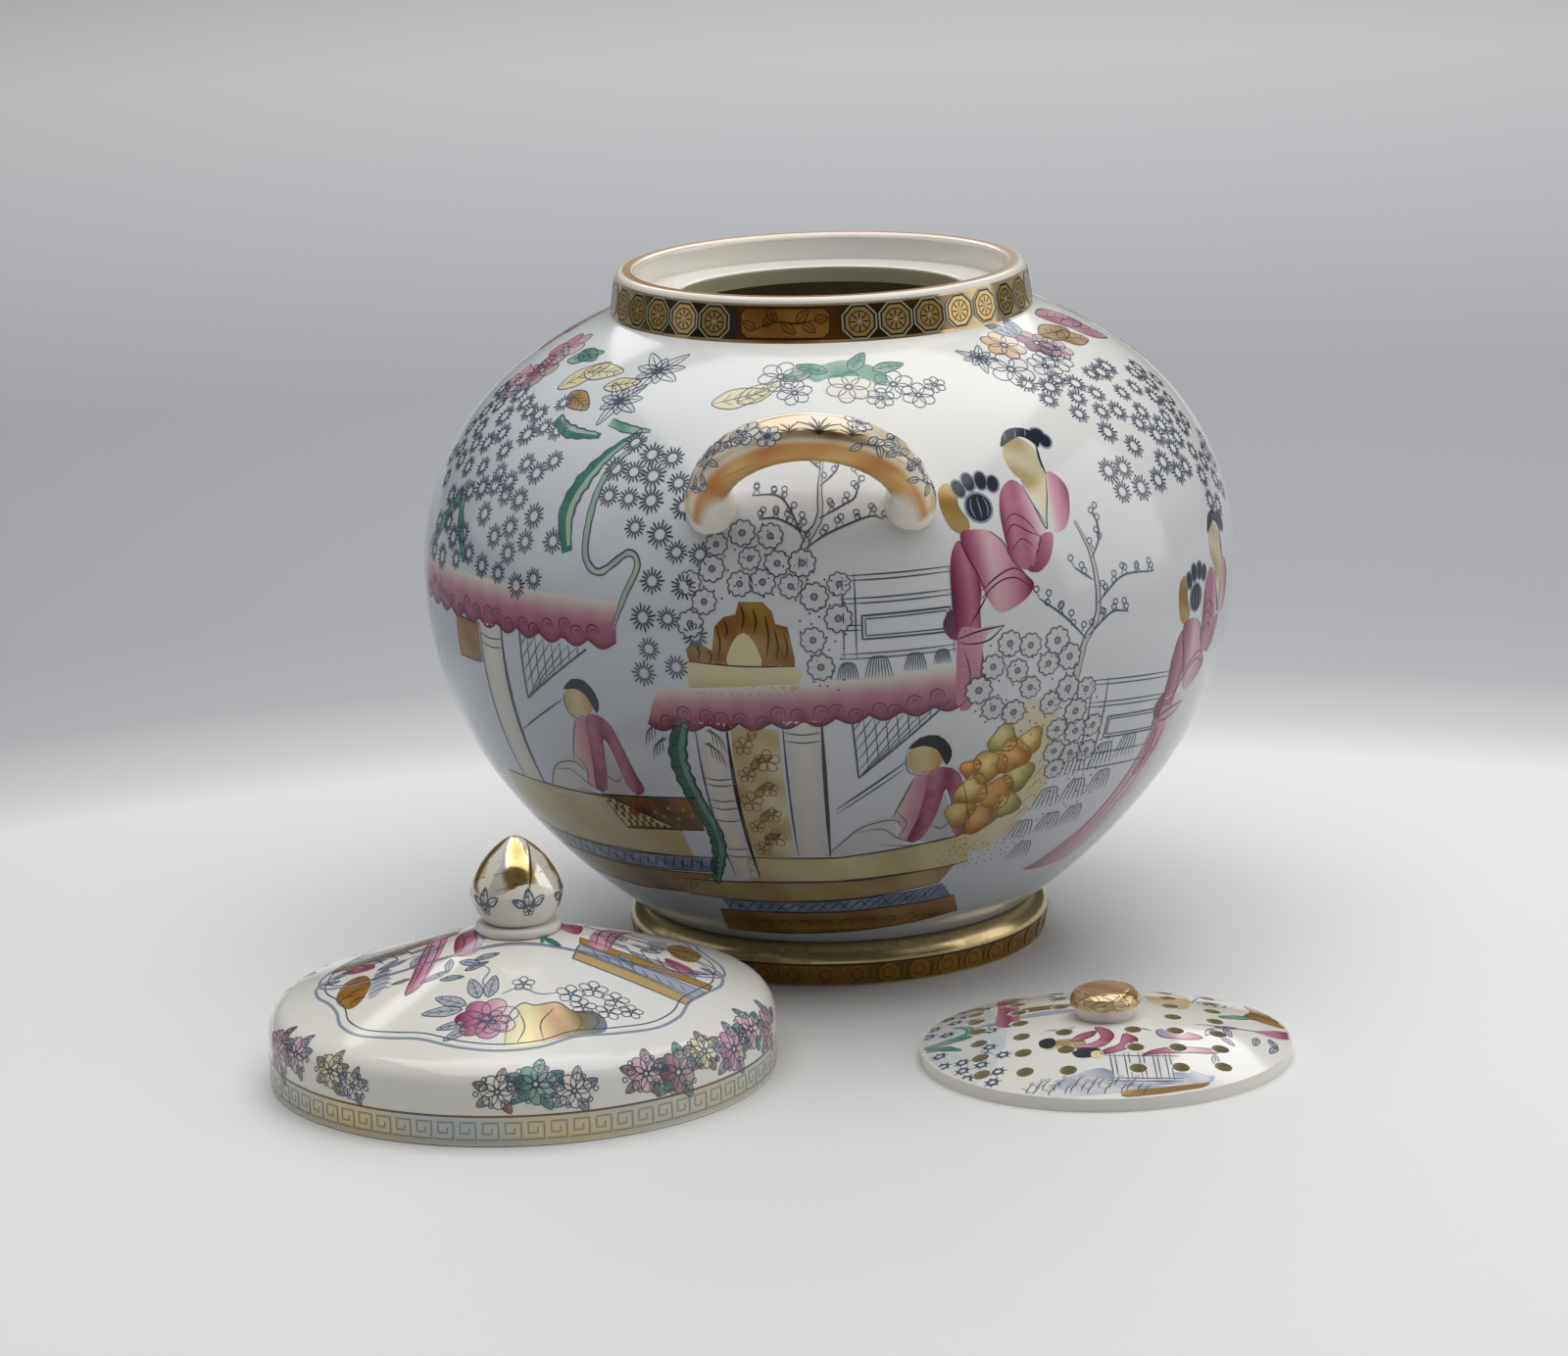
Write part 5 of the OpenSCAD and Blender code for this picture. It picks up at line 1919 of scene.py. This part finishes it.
def draw_dome(ink, c):
    """A lobed panel with a terrace, a robed figure, rocks and a peony."""
    pen = Pen(ink)
    pen.line(CARTOUCHE, 1.0, c.slate, closed=True)
    pen.line([(0.955 * x, 0.955 * y) for x, y in CARTOUCHE], 0.45, c.ink, closed=True)
    pen.wash([(-56, -6), (-50, -5), (-47, -15), (-49, -26), (-53, -30), (-58, -20)],
             mottled(c.ochre, c.rust, 1, 4.0), grid=2.2)
    for x, y in ((-54, -10), (-52, -17), (-55, -20), (-51, -24)):
        pen.line([(x - 2, y - 3), (x, y), (x + 3, y - 1)], 0.45, c.brown)
    pen.wash([(-46, -8), (-41, -10), (-42, -22), (-47, -27)], blend(c.slate, c.glaze, 0.4))
    for i in range(5):
        pen.line([(-47, -10 - 3.4 * i), (-43, -8.4 - 3.4 * i), (-40, -11 - 3.2 * i)], 0.4, c.ink)
    dark = blend(c.crimson, c.hair, 0.4)
    robe = [(-29, 8), (-23, 8), (-24, -8), (-27, -20), (-30, -29), (-35, -32), (-33, -20), (-31, -6)]
    pen.wash(robe, across(-34, -23, c.crimson, c.pink, c.rose, c.pink), grid=1.8)
    pen.lines([[(-28, 7), (-29, -10), (-33, -29)], [(-25, 7), (-26, -10), (-30, -28)]], 0.4, dark)
    pen.line(robe[4:] + robe[:1], 0.45, dark)
    pen.wash([(-19, 2), (-13, 1), (-10, -8), (-13, -17), (-19, -16), (-20.4, -7)],
             across(-20, -10, c.crimson, c.pink, c.slate), 0.06, grid=1.8)
    pen.lines([[(-18, 0), (-17, -8), (-18, -15)], [(-14, -1), (-13, -9), (-14, -16)]], 0.45, dark)
    for x, y, size, turn in ((-21, -17, 8, 265), (-18, -20, 9, 330), (-22, -24, 9, 200), (-16, -26, 8, 20),
                             (-24, -28, 8, 350), (-13, -21, 8, 10), (-34, -22, 6, 180)):
        leaf(pen, x, y, size, 0.32 * size, turn, c, blend(c.slate, c.glaze, 0.25), 2)
    bloom(pen, -8, -53, 9.5, 7, c, across(-17, 1, c.crimson, c.pink, c.rose, c.glaze))
    bloom(pen, -6, -55, 5.4, 6, c, across(-11, -1, c.pink, c.rose))
    for x, y, size, turn in ((-16, -47, 13, 175), (-15, -45, 12, 145), (-15, -54, 9, 190), (-14, -57, 9, 215),
                             (-11, -42, 11, 105), (-8, -42, 11, 80)):
        leaf(pen, x, y, size, 0.4 * size, turn, c, blend(c.slate, c.glaze, 0.35), 3)
    ring = [(-2, -67), (6, -67), (14, -64), (21, -61), (29, -58), (29, -52), (25, -48), (19, -49), (14, -45),
            (7, -47), (3, -46), (-1, -52)]
    stone = across(-2, 29, (*linear("c9c6a6"), 0.7), (*c.straw, 0.85), (*linear("e0bd92"), 0.8),
                   (*linear("a89a6a"), 0.8), (*c.slate, 0.3))
    pen.wash(ring, stone, grid=2.0)
    pen.line(ring[4:] + ring[:1], 0.45, c.ink)
    cracks = ([(2, -66), (4, -58), (2, -50)], [(10, -64), (9, -56), (13, -48)],
              [(20, -60), (22, -54), (20, -50)], [(25, -58), (27, -53), (25, -49)])
    pen.lines(cracks, 0.45, blend(c.rust, c.ink, 0.5))
    pen.line([(-4, -41), (2, -38), (8, -41), (14, -40)], 0.6, c.slate)
    bloom(pen, 3, -36, 3.4, 5, c)
    for x, y, r in ((18, -40, 4.4), (25, -36, 4.4), (32, -40, 4.2), (22, -46, 4.0), (30, -47, 4.0),
                    (37, -45, 3.6)):
        bloom(pen, x, y, r, 5, c)
    strips = (
        ((20, -4), (45, -8), (62, -13), (61, -18), (44, -14), (20, -9), c.ochre),
        ((20, -10), (44, -15), (60, -20), (57, -27), (40, -20), (19, -14), blend(c.slate, c.pale, 0.3)),
        ((19, -15), (40, -21), (56, -28), (54, -33), (38, -27), (18, -20), blend(c.ochre, c.straw, 0.3)),
    )
    for *ring, paint in strips:
        pen.wash(ring, paint, smooth=False, grid=3.0)
        pen.line(ring, 0.5, c.ink, closed=True, smooth=False)
    for i in range(8):
        pen.line([(24 + 4 * i, -11 - 1.3 * i), (26 + 4 * i, -16 - 1.2 * i)], 0.4, c.ink)
    for i in range(5):
        pen.line([(34 + 5 * i, 2 - 1.4 * i), (37 + 5 * i, -7 - 1.2 * i)], 0.5, c.ink)
    pen.wash([(47, 1), (54, -1), (58, -8), (53, -10), (48, -6)], mottled(c.crimson, c.pink, 3, 3.0), grid=2.0)
    for x, y, size, turn in ((24, 4, 9, 35), (27, 1, 8, -10), (32, 6, 9, 80), (36, 5, 8, 10), (42, 7, 8, 60),
                             (58, 2, 7, -30), (61, -3, 7, 200), (-36, 4, 9, 150), (-39, -1, 8, 215),
                             (-43, 5, 8, 170), (-33, 9, 8, 120)):
        leaf(pen, x, y, size, 0.36 * size, turn, c, blend(c.slate, c.glaze, 0.3), 2)
    pen.lines([[(20, 0), (28, 4), (38, 5), (47, 8)], [(-30, 2), (-38, 3), (-46, 7)],
               [(-6, -40), (-10, -34), (-8, -28), (-11, -24)]], 0.55, c.slate)
    bough(pen, [(13, 8), (10, -4), (8, -14)], (3, 2.4, 1), c.teal, c.ink)
    for x, y, turn in ((12, 2, 20), (9, -6, 200), (9, -11, -30)):
        leaf(pen, x, y, 6, 2.6, turn, c, c.teal, 2)


SKIRT = (
    (-98, 17, 7.5, "pink", "crimson"), (-84, 20, 6.0, "rose", "slate"), (-64, 19, 5.5, "straw", "ochre"),
    (-54, 16, 4.5, "", "slate"), (-4, 18, 5.5, "", "rust"), (8, 20, 6.5, "teal", "teal"),
    (20, 17, 5.5, "", "slate"), (44, 19, 6.0, "rose", "rust"), (56, 17, 7.0, "crimson", "teal"),
    (68, 21, 5.5, "straw", "ochre"), (82, 18, 7.0, "pink", "slate"), (95, 21, 6.5, "rose", "teal"),
    (110, 17, 7.0, "pink", "slate"),
)


def draw_sprig(pen, c, r, petal, leaves):
    """An open flower among leaves and small buds."""
    for turn in (20, 75, 160, 215, 300):
        leaf(pen, *polar(0.0, 0.0, 0.55 * r, turn), 0.95 * r, 0.55 * r, turn, c,
             mottled(leaves, blend(leaves, c.glaze, 0.4), turn, 2.0), 3)
    bloom(pen, 0, 0, 0.95 * r, 7, c, across(-r, r, petal, blend(petal, c.glaze, 0.6)) if petal else c.glaze)
    for i in range(6):
        a = 1.1 * i
        pen.ring(1.25 * r * cos(a), 0.85 * r * sin(a), 0.8, 0.35, c.ink)


def draw_bud(ink, c):
    """Gilding over the bud's point, in pale and dark bands that are partly rubbed gilding and partly painted
    reflection, sprigs about its lower edge.
    """
    length = ink.skin.outline.length
    pale, gilt, dark = (*linear("efeadc"), 0.35), (*linear("d9b97c"), 0.8), (*linear("6a4a22"), 0.5)
    white = (*c.glaze, 0.0)

    def paint(x, s):
        edge = 14.5 + 2.4 * sin(3 * x / ink.skin.r0 + 0.6)
        if s < edge:
            return white
        # Partly painted reflection: pale and dark bands run round the gilding.
        wave = sin(4 * x / ink.skin.r0 + 0.9) + 0.3 * sin(0.7 * s)
        return blend(blend(pale, gilt, 1.6 * (wave + 0.35)), dark, 2.5 * (wave - 0.6) * (length - s) / length)

    girdle(ink, 12.0, length - 0.1, paint, 0.03, 96, 80)
    crown(ink, ink.skin.outline.at(length)[1], blend(pale, gilt, 0.6))
    pen = Pen(ink)
    for i in range(6):
        x = TURN * ink.skin.r0 * (i + 0.3) / 6
        sub = Pen(ink, x, 12.0)
        leaf(sub, 0, -2.5, 6.0, 3.0, 90, c, blend(c.slate, c.teal, 0.4), 2)
        leaf(sub, 1.0, -2.5, 5.5, 2.6, 35, c, blend(c.slate, c.ink, 0.4), 2)
        leaf(sub, -1.0, -2.5, 5.0, 2.6, 150, c, blend(c.slate, c.ink, 0.4), 2)
        bloom(sub, 0, -4.0, 1.8, 5, c)
        pen.line([(x, 14.5), (x + 0.9, 20.0), (x + 0.5, length - 3)], 0.7, c.brown)


class VASE_OT_cover_print(bpy.types.Operator):
    """Print and gild the outer cover and its bud"""

    bl_idname = "vase.cover_print"
    bl_label = "Cover decoration"

    def execute(self, context):
        z, c = context.scene.vase_sizes, Palette(context.scene.vase_colours)
        dome = Ink(cover_skin(z))
        draw_dome(dome, c)
        repeat(dome, z.cover_x, z.cover_y)
        dome.fit("cover_panel", "outer_cover", "white_glaze")
        parts, top = cover_parts(z)
        skirt = Ink(Skin(Outline(parts), z.cover_r, z.cover_x, z.cover_y))
        for x, s, r, petal, leaves in SKIRT:
            draw_sprig(Pen(skirt, x, s), c, r, getattr(c, petal, None), getattr(c, leaves))
        repeat(skirt, z.cover_x, z.cover_y)
        gilt, worn = (*linear("d3bf8e"), 0.45), (*linear("bcc3c2"), 0.1)
        low, high, line = 0.9, 9.6, 10.3
        girdle(skirt, low, high, mottled(gilt, worn, 3, 17.0), rows=3)
        girdle(skirt, high, line, mottled((*c.rust, 0.3), c.ink, 4, 9.0), 0.06)
        skirt.fit("skirt_print", "outer_cover", "white_glaze")
        middle = (z.cover_x, z.cover_y, 5.3)
        fret = ring_of("key_fret", key_motif, c, 72, z.cover_r + 0.05, middle)
        fit(fret, "outer_cover")
        bud = Ink(Skin(bud_outline(z, top), z.bud_r, z.cover_x, z.cover_y))
        draw_bud(bud, c)
        bud.fit("bud_gilding", "outer_cover", "gilt_glaze")
        return {"FINISHED"}


def draw_plate(pen, c):
    """Part of a garden scene: reclining figures, posts, a blossoming branch and sprays."""
    dark = blend(c.crimson, c.hair, 0.4)
    fine = {"grid": 1.3}
    light = blend(c.teal, c.glaze, 0.35)
    bough(pen, [(-60, -3), (-52, -3), (-45, -2), (-39, 3), (-33, 4)], (2.5, 4, 5, 4, 1.5),
          mottled(c.teal, light, 1, 3.0), c.ink)
    bough(pen, [(-44, -1), (-44, 6), (-49, 12)], (2.5, 2, 1), light, c.ink)
    bough(pen, [(-58, -6), (-53, -8), (-47, -14)], (2, 3, 1), mottled(c.teal, light, 2, 3.0), c.ink)
    mist = mottled(blend(c.glaze, c.pale, 0.5), blend(c.glaze, linear("b9cbd6"), 0.7), 6, 7.0)
    pen.wash([(-62, 4), (-56, 20), (-46, 32), (-38, 30), (-34, 8), (-32, -8), (-36, -30), (-44, -40),
              (-54, -26), (-61, -8)], mist, 0.03, **fine)
    pen.wash([(-24, -54), (-14, -46), (-4, -42), (2, -46), (12, -50), (26, -46), (32, -44), (28, -50),
              (10, -55), (-10, -57)], mottled(blend(c.glaze, c.pale, 0.6), c.slate, 7, 6.0), 0.03, **fine)
    for x, y in ((-55, 17), (-57, 9), (-51, 5), (-48, 18), (-42, 14), (-44, 24), (-50, 27), (-38, 30),
                 (-44, 34), (-37, -2), (-54, -14), (-53, -23), (-38, -17), (-40, -22), (-34, -25), (-47, -30),
                 (-41, -29), (-46, -36), (-36, -36), (-38, -42), (-47, -24)):
        pen.ring(x, y, 1.5, 1.0, c.ink)
        for i in range(7):
            pen.line([polar(x, y, 1.8, 360 * i / 7), polar(x, y, 2.9, 360 * i / 7)], 0.6, c.ink, taper=0.7)
    pen.wash([(-35, 1), (-28, 0), (-27, 20), (-27, 46), (-33, 48), (-34, 22)],
             across(-35, -27, c.pink, c.crimson, c.pink), **fine)
    pen.wash([(-26, 12), (-11, 13), (-11, 17), (-26, 18)], c.rust, **fine)
    pen.wash([(-26, 5), (-11, 6), (-11, 10), (-26, 9)], blend(c.slate, c.pale, 0.3), **fine)
    pen.wash([(-20, -27), (-9, -27), (-8, -22), (-14, -20), (-20, -21)],
             mottled((*c.ochre, 0.4), (*c.straw, 0.2), 2, 3.0), **fine)
    pen.wash([(-22, -19), (-18, -18), (-17, -23), (-19, -26), (-22, -24)], c.hair, 0.07, **fine)
    pen.wash([(-12, -28), (-6, -28), (-3, -30), (-6, -34.5), (-11, -34)], c.hair, 0.07, **fine)
    pen.wash([(-6, -31), (-2.6, -31), (-3, -35), (-6, -35)], c.straw, 0.08, **fine)
    robes = (
        ([(-12, -22), (-9, -17), (-4, -15), (-5, -19), (-9, -22)], (c.pink, c.crimson)),
        ([(-4, -12), (0, -14), (1.6, -20), (-2, -27), (-9, -29), (-12, -26), (-6, -25), (-2.4, -20)],
         (c.rose, c.pink, c.crimson)),
        ([(5, -18), (9, -22), (7, -28), (1, -32), (-3, -33), (-2, -30), (3, -26)],
         (c.crimson, c.pink, c.crimson)),
        ([(10, -34), (14, -30), (22, -27), (34, -26), (33, -29), (24, -30.6), (14, -33)],
         (c.crimson, c.pink, c.rose, c.crimson)),
        ([(16, -14), (24, -14), (30, -17), (27, -20), (17, -20)], (c.slate, c.rose, c.crimson)),
    )
    for ring, paints in robes:
        pen.wash(ring, across(min(p[0] for p in ring), max(p[0] for p in ring), *paints), 0.06, **fine)
        pen.line(ring, 0.35, dark, closed=True)
    pen.lines([[(5, -12), (8, -16), (5, -18)], [(6, -14), (10, -13), (14, -15)],
               [(-20, -11), (-14, -12), (-10, -10)]], 0.6, c.ink)
    pen.wash([(-1, -33), (18, -31), (19, -50), (0, -50)], blend(c.pale, c.glaze, 0.4), 0.045,
             smooth=False, **fine)
    for x in (-0.5, 1, 4, 5.4, 8.6, 10, 13, 14.4, 17, 18.4):
        pen.line([(x, -32), (x + 0.6, -49)], 0.42, c.ink)
    for y in (-34, -48, -49.6):
        pen.line([(-2, y), (9, y - 0.6), (22, y + 0.4)], 0.5, c.ink)
    pen.wash([(19, -45), (23, -42), (30, -45), (28, -49), (14, -52), (4, -53), (4, -50), (18, -49)],
             mottled(c.slate, c.pale, 5, 3.0), **fine)
    for i in range(22):
        x, y = -28 + 1.75 * i, -50.5 - 0.12 * i - 2.4 * sin(1.9 * i)
        pen.line([(x, y - 2.6), (x + 0.6, y), (x + 2.2, y + 2.4)], 0.4, c.ink)
        pen.line([(x + 0.6, y), (x - 1.4, y + 1.8)], 0.35, c.grey)
        pen.ring(x + 2.2, y + 3.0, 0.7, 0.3, c.grey)
    pen.wash([(3, -55.6), (14, -53.6), (26, -50), (30, -48.6), (27, -52), (14, -57), (3, -58.8)],
             mottled((*c.ochre, 0.4), (*linear("e0bd78"), 0.7), 3, 4.0), 0.07, **fine)
    for x, y, turn in ((34, -8, 250), (38, -6, 280), (42, -4, 200), (36, -14, 300), (48, -10, 260),
                       (52, -9, 285), (54, -14, 250), (33, -30, 270)):
        leaf(pen, x, y, 8, 2.2, turn, c, blend(c.slate, c.glaze, 0.45), 1)
    pen.line([(28, -6), (36, -5), (46, -4), (54, -2)], 0.5, c.ink)
    pen.wash([(48, -4), (53, 1), (59, 4), (60, -2), (55, -6)], across(48, 60, c.rose, c.pink, c.crimson),
             **fine)
    bough(pen, [(37, 6), (43, 9), (50, 14)], (2, 4, 2), mottled(c.teal, light, 5, 3.0), c.ink)
    pen.wash([(46, 12), (59, 8), (57, 22), (50, 36), (47, 34), (48, 22)],
             mottled(c.ochre, c.rust, 3, 4.0), **fine)
    pen.wash([(17, 14), (27, 12), (28, 34), (20, 46), (14, 40)],
             mottled(linear("d9a77c"), c.straw, 4, 5.0), **fine)
    for x, y in ((-12, 32), (-2, 50), (4, 36), (36, 42), (36, 24)):
        bloom(pen, x, y, 4.6, 6, c)
    for i in range(6):
        pen.line([(-16 + 9 * i, 22), (-14 + 9 * i, 30), (-18 + 10 * i, 38)], 0.5, c.ink)


def pierce(ink, z):
    """Drops the print that would lie across a hole."""
    holes = [(x * MM, y * MM) for x, y in plate_holes(z)]
    reach = z.hole_r * MM
    edge = (z.plate_r - 0.3) * MM
    middle = (z.plate_x * MM, z.plate_y * MM)

    def shut(p):
        return dist(p[:2], middle) > edge or any(dist(p[:2], h) < reach for h in holes)

    lost = [shut(p) for p in ink.points]
    ink.faces = [f for f in ink.faces if not any(lost[i] for i in f)]


def crackle(ink, c):
    """Fine dark lines that break up the gilding."""
    rng = random.Random(8)
    length = ink.skin.outline.length
    pen = Pen(ink, flat=True)
    for i in range(20):
        x = TURN * ink.skin.r0 * i / 20
        points = [(x, 0.5 * length)]
        for k in range(1, 5):
            points.append((x + rng.uniform(-2.2, 2.2), (0.5 + 0.12 * k) * length))
        pen.line(points, 0.32, c.rust, 0.07)
    for s in (0.58, 0.72, 0.86):
        for i in range(14):
            x = TURN * ink.skin.r0 * (i + rng.random()) / 14
            pen.line([(x, s * length), (x + 1.6, (s + rng.uniform(-0.04, 0.04)) * length),
                      (x + 3.4, s * length)], 0.28, c.rust, 0.07)


class VASE_OT_plate_print(bpy.types.Operator):
    """Print the pierced plate and gild its knob"""

    bl_idname = "vase.plate_print"
    bl_label = "Plate decoration"

    def execute(self, context):
        z, c = context.scene.vase_sizes, Palette(context.scene.vase_colours)
        ink = Ink(plate_skin(z))
        draw_plate(Pen(ink), c)
        pierce(ink, z)
        ink.fit("plate_print", "pierced_cover", "white_glaze")
        knob = Ink(Skin(knob_outline(z), z.knob_r, z.plate_x, z.plate_y))
        gilt, worn = (*linear("d3a868"), 0.7), (*linear("e6d3ae"), 0.3)
        length = knob.skin.outline.length
        girdle(knob, 0.46 * length, length - 0.1, mottled(gilt, worn, 2, 4.0), 0.03, 96, 12)
        crown(knob, z.plate_edge + z.plate_rise + z.knob_h, gilt)
        crackle(knob, c)
        knob.fit("knob_gilding", "pierced_cover", "gilt_glaze")
        return {"FINISHED"}


class VASE_OT_stage(bpy.types.Operator):
    """Set up the floor, the lights and the camera"""

    bl_idname = "vase.stage"
    bl_label = "Stage"

    def execute(self, context):
        self.floor()
        self.lights(context)
        self.camera(context)
        context.scene.view_settings.view_transform = "Standard"
        return {"FINISHED"}

    def floor(self):
        """A floor with painted light: pale about the vase, greyer further off and a little lighter to the
        right.
        """
        middle_y, sides = -0.35, 96
        stops = ((0.0, "e2e2e1"), (0.6, "e2e2e1"), (0.66, "c6c6c7"), (0.74, "a9abae"), (0.88, "a1a3a7"),
                 (1.4, "9fa1a5"), (1.9, "b3b4b8"), (2.7, "c9c9cb"), (8.0, "cdcdcf"))
        paint = fade(*[(r, linear(code)) for r, code in stops])
        points, faces, tints = [(0.0, middle_y, 0.0)], [], [paint(0.0, 0.0)]
        for i, (r, _) in enumerate(stops[1:]):
            for j in range(sides):
                x, y = polar(0.0, middle_y, r, 360 * j / sides)
                points.append((x, y, 0.0))
                # Painted light: the floor is a little lighter to the right than to the left.
                share = 0.99 + 0.045 * min(max(x / 0.6, -1.0), 1.0)
                tints.append(tuple(share * v for v in paint(0.0, r)))
                here, last = 1 + i * sides, 1 + (i - 1) * sides
                k = (j + 1) % sides
                faces.append((0, here + j, here + k) if i == 0 else (last + j, here + j, here + k, last + k))
        floor = make_object("floor", points, faces, tint_material("floor", 0.6))
        tint = floor.data.color_attributes.new("tint", "FLOAT_COLOR", "POINT")
        tint.data.foreach_set("color", [c for t in tints for c in (*t, 0.0)])

    def lights(self, context):
        """A wide lamp overhead, weaker ones at the sides and one for the floor behind."""
        lamps = [
            ("key", (0.1, -0.05, 2.1), (0.0, -0.05, 0.1), 2.6, 50.0),
            ("fill", (1.6, -1.2, 1.3), (0.0, 0.0, 0.12), 1.4, 1.5),
            ("right", (1.9, -0.1, 0.75), (0.0, 0.0, 0.1), 1.5, 10.0),
            ("left", (-1.9, 0.3, 1.2), (0.0, 0.0, 0.1), 2.0, 5.0),
            ("back", (0.0, 2.6, 1.6), (0.0, 2.5, 0.0), 2.0, 28.0),
        ]
        for name, place, aim, size, power in lamps:
            lamp = bpy.data.lights.new(name, "AREA")
            lamp.size = size
            lamp.energy = power
            ob = bpy.data.objects.new(name, lamp)
            ob.location = place
            ob.rotation_euler = (Vector(aim) - Vector(place)).to_track_quat("-Z", "Y").to_euler()
            context.scene.collection.objects.link(ob)
        world = bpy.data.worlds.new("studio")
        world.use_nodes = True
        world.node_tree.nodes["Background"].inputs["Color"].default_value = (0.8, 0.82, 0.85, 1.0)
        world.node_tree.nodes["Background"].inputs["Strength"].default_value = 0.04
        context.scene.world = world

    def camera(self, context):
        """A long lens before the vase, a little above its rim and slightly tipped to one side."""
        yaw, pitch, roll = (radians(v) for v in (-0.4955, 13.505, -1.83))
        look = Vector((sin(yaw) * cos(pitch), cos(yaw) * cos(pitch), -sin(pitch)))
        right = Vector((cos(yaw), -sin(yaw), 0.0))
        up = right.cross(look)
        x = right * cos(roll) + up * sin(roll)
        y = up * cos(roll) - right * sin(roll)
        camera = bpy.data.cameras.new("camera")
        camera.sensor_width = 36.0
        camera.lens = 132.5
        camera.clip_end = 50.0
        ob = bpy.data.objects.new("camera", camera)
        ob.matrix_world = Matrix((x, y, -look)).transposed().to_4x4()
        ob.location = (0.0, -1.9409, 0.5565)
        context.scene.collection.objects.link(ob)
        context.scene.camera = ob


class VASE_PT_panel(bpy.types.Panel):
    """Lists the steps that build the vase"""

    bl_idname = "VASE_PT_panel"
    bl_label = "Potpourri vase"
    bl_space_type = "VIEW_3D"
    bl_region_type = "UI"
    bl_category = "Vase"

    def draw(self, context):
        for step in STEPS:
            self.layout.operator(step.bl_idname)


STEPS = (
    VASE_OT_bowl,
    VASE_OT_neck,
    VASE_OT_foot,
    VASE_OT_handles,
    VASE_OT_cover,
    VASE_OT_plate,
    VASE_OT_bowl_print,
    VASE_OT_neck_print,
    VASE_OT_foot_print,
    VASE_OT_cover_print,
    VASE_OT_plate_print,
    VASE_OT_stage,
)
CLASSES = (VaseSizes, VaseColours, *STEPS, VASE_PT_panel)


def register():
    for c in CLASSES:
        bpy.utils.register_class(c)
    bpy.types.Scene.vase_sizes = bpy.props.PointerProperty(type=VaseSizes)
    bpy.types.Scene.vase_colours = bpy.props.PointerProperty(type=VaseColours)


def unregister():
    del bpy.types.Scene.vase_colours
    del bpy.types.Scene.vase_sizes
    for c in reversed(CLASSES):
        bpy.utils.unregister_class(c)


def main():
    register()
    bpy.ops.vase.bowl()
    bpy.ops.vase.neck()
    bpy.ops.vase.foot()
    bpy.ops.vase.handles()
    bpy.ops.vase.cover()
    bpy.ops.vase.plate()
    bpy.ops.vase.bowl_print()
    bpy.ops.vase.neck_print()
    bpy.ops.vase.foot_print()
    bpy.ops.vase.cover_print()
    bpy.ops.vase.plate_print()
    bpy.ops.vase.stage()


if __name__ == "__main__":
    main()
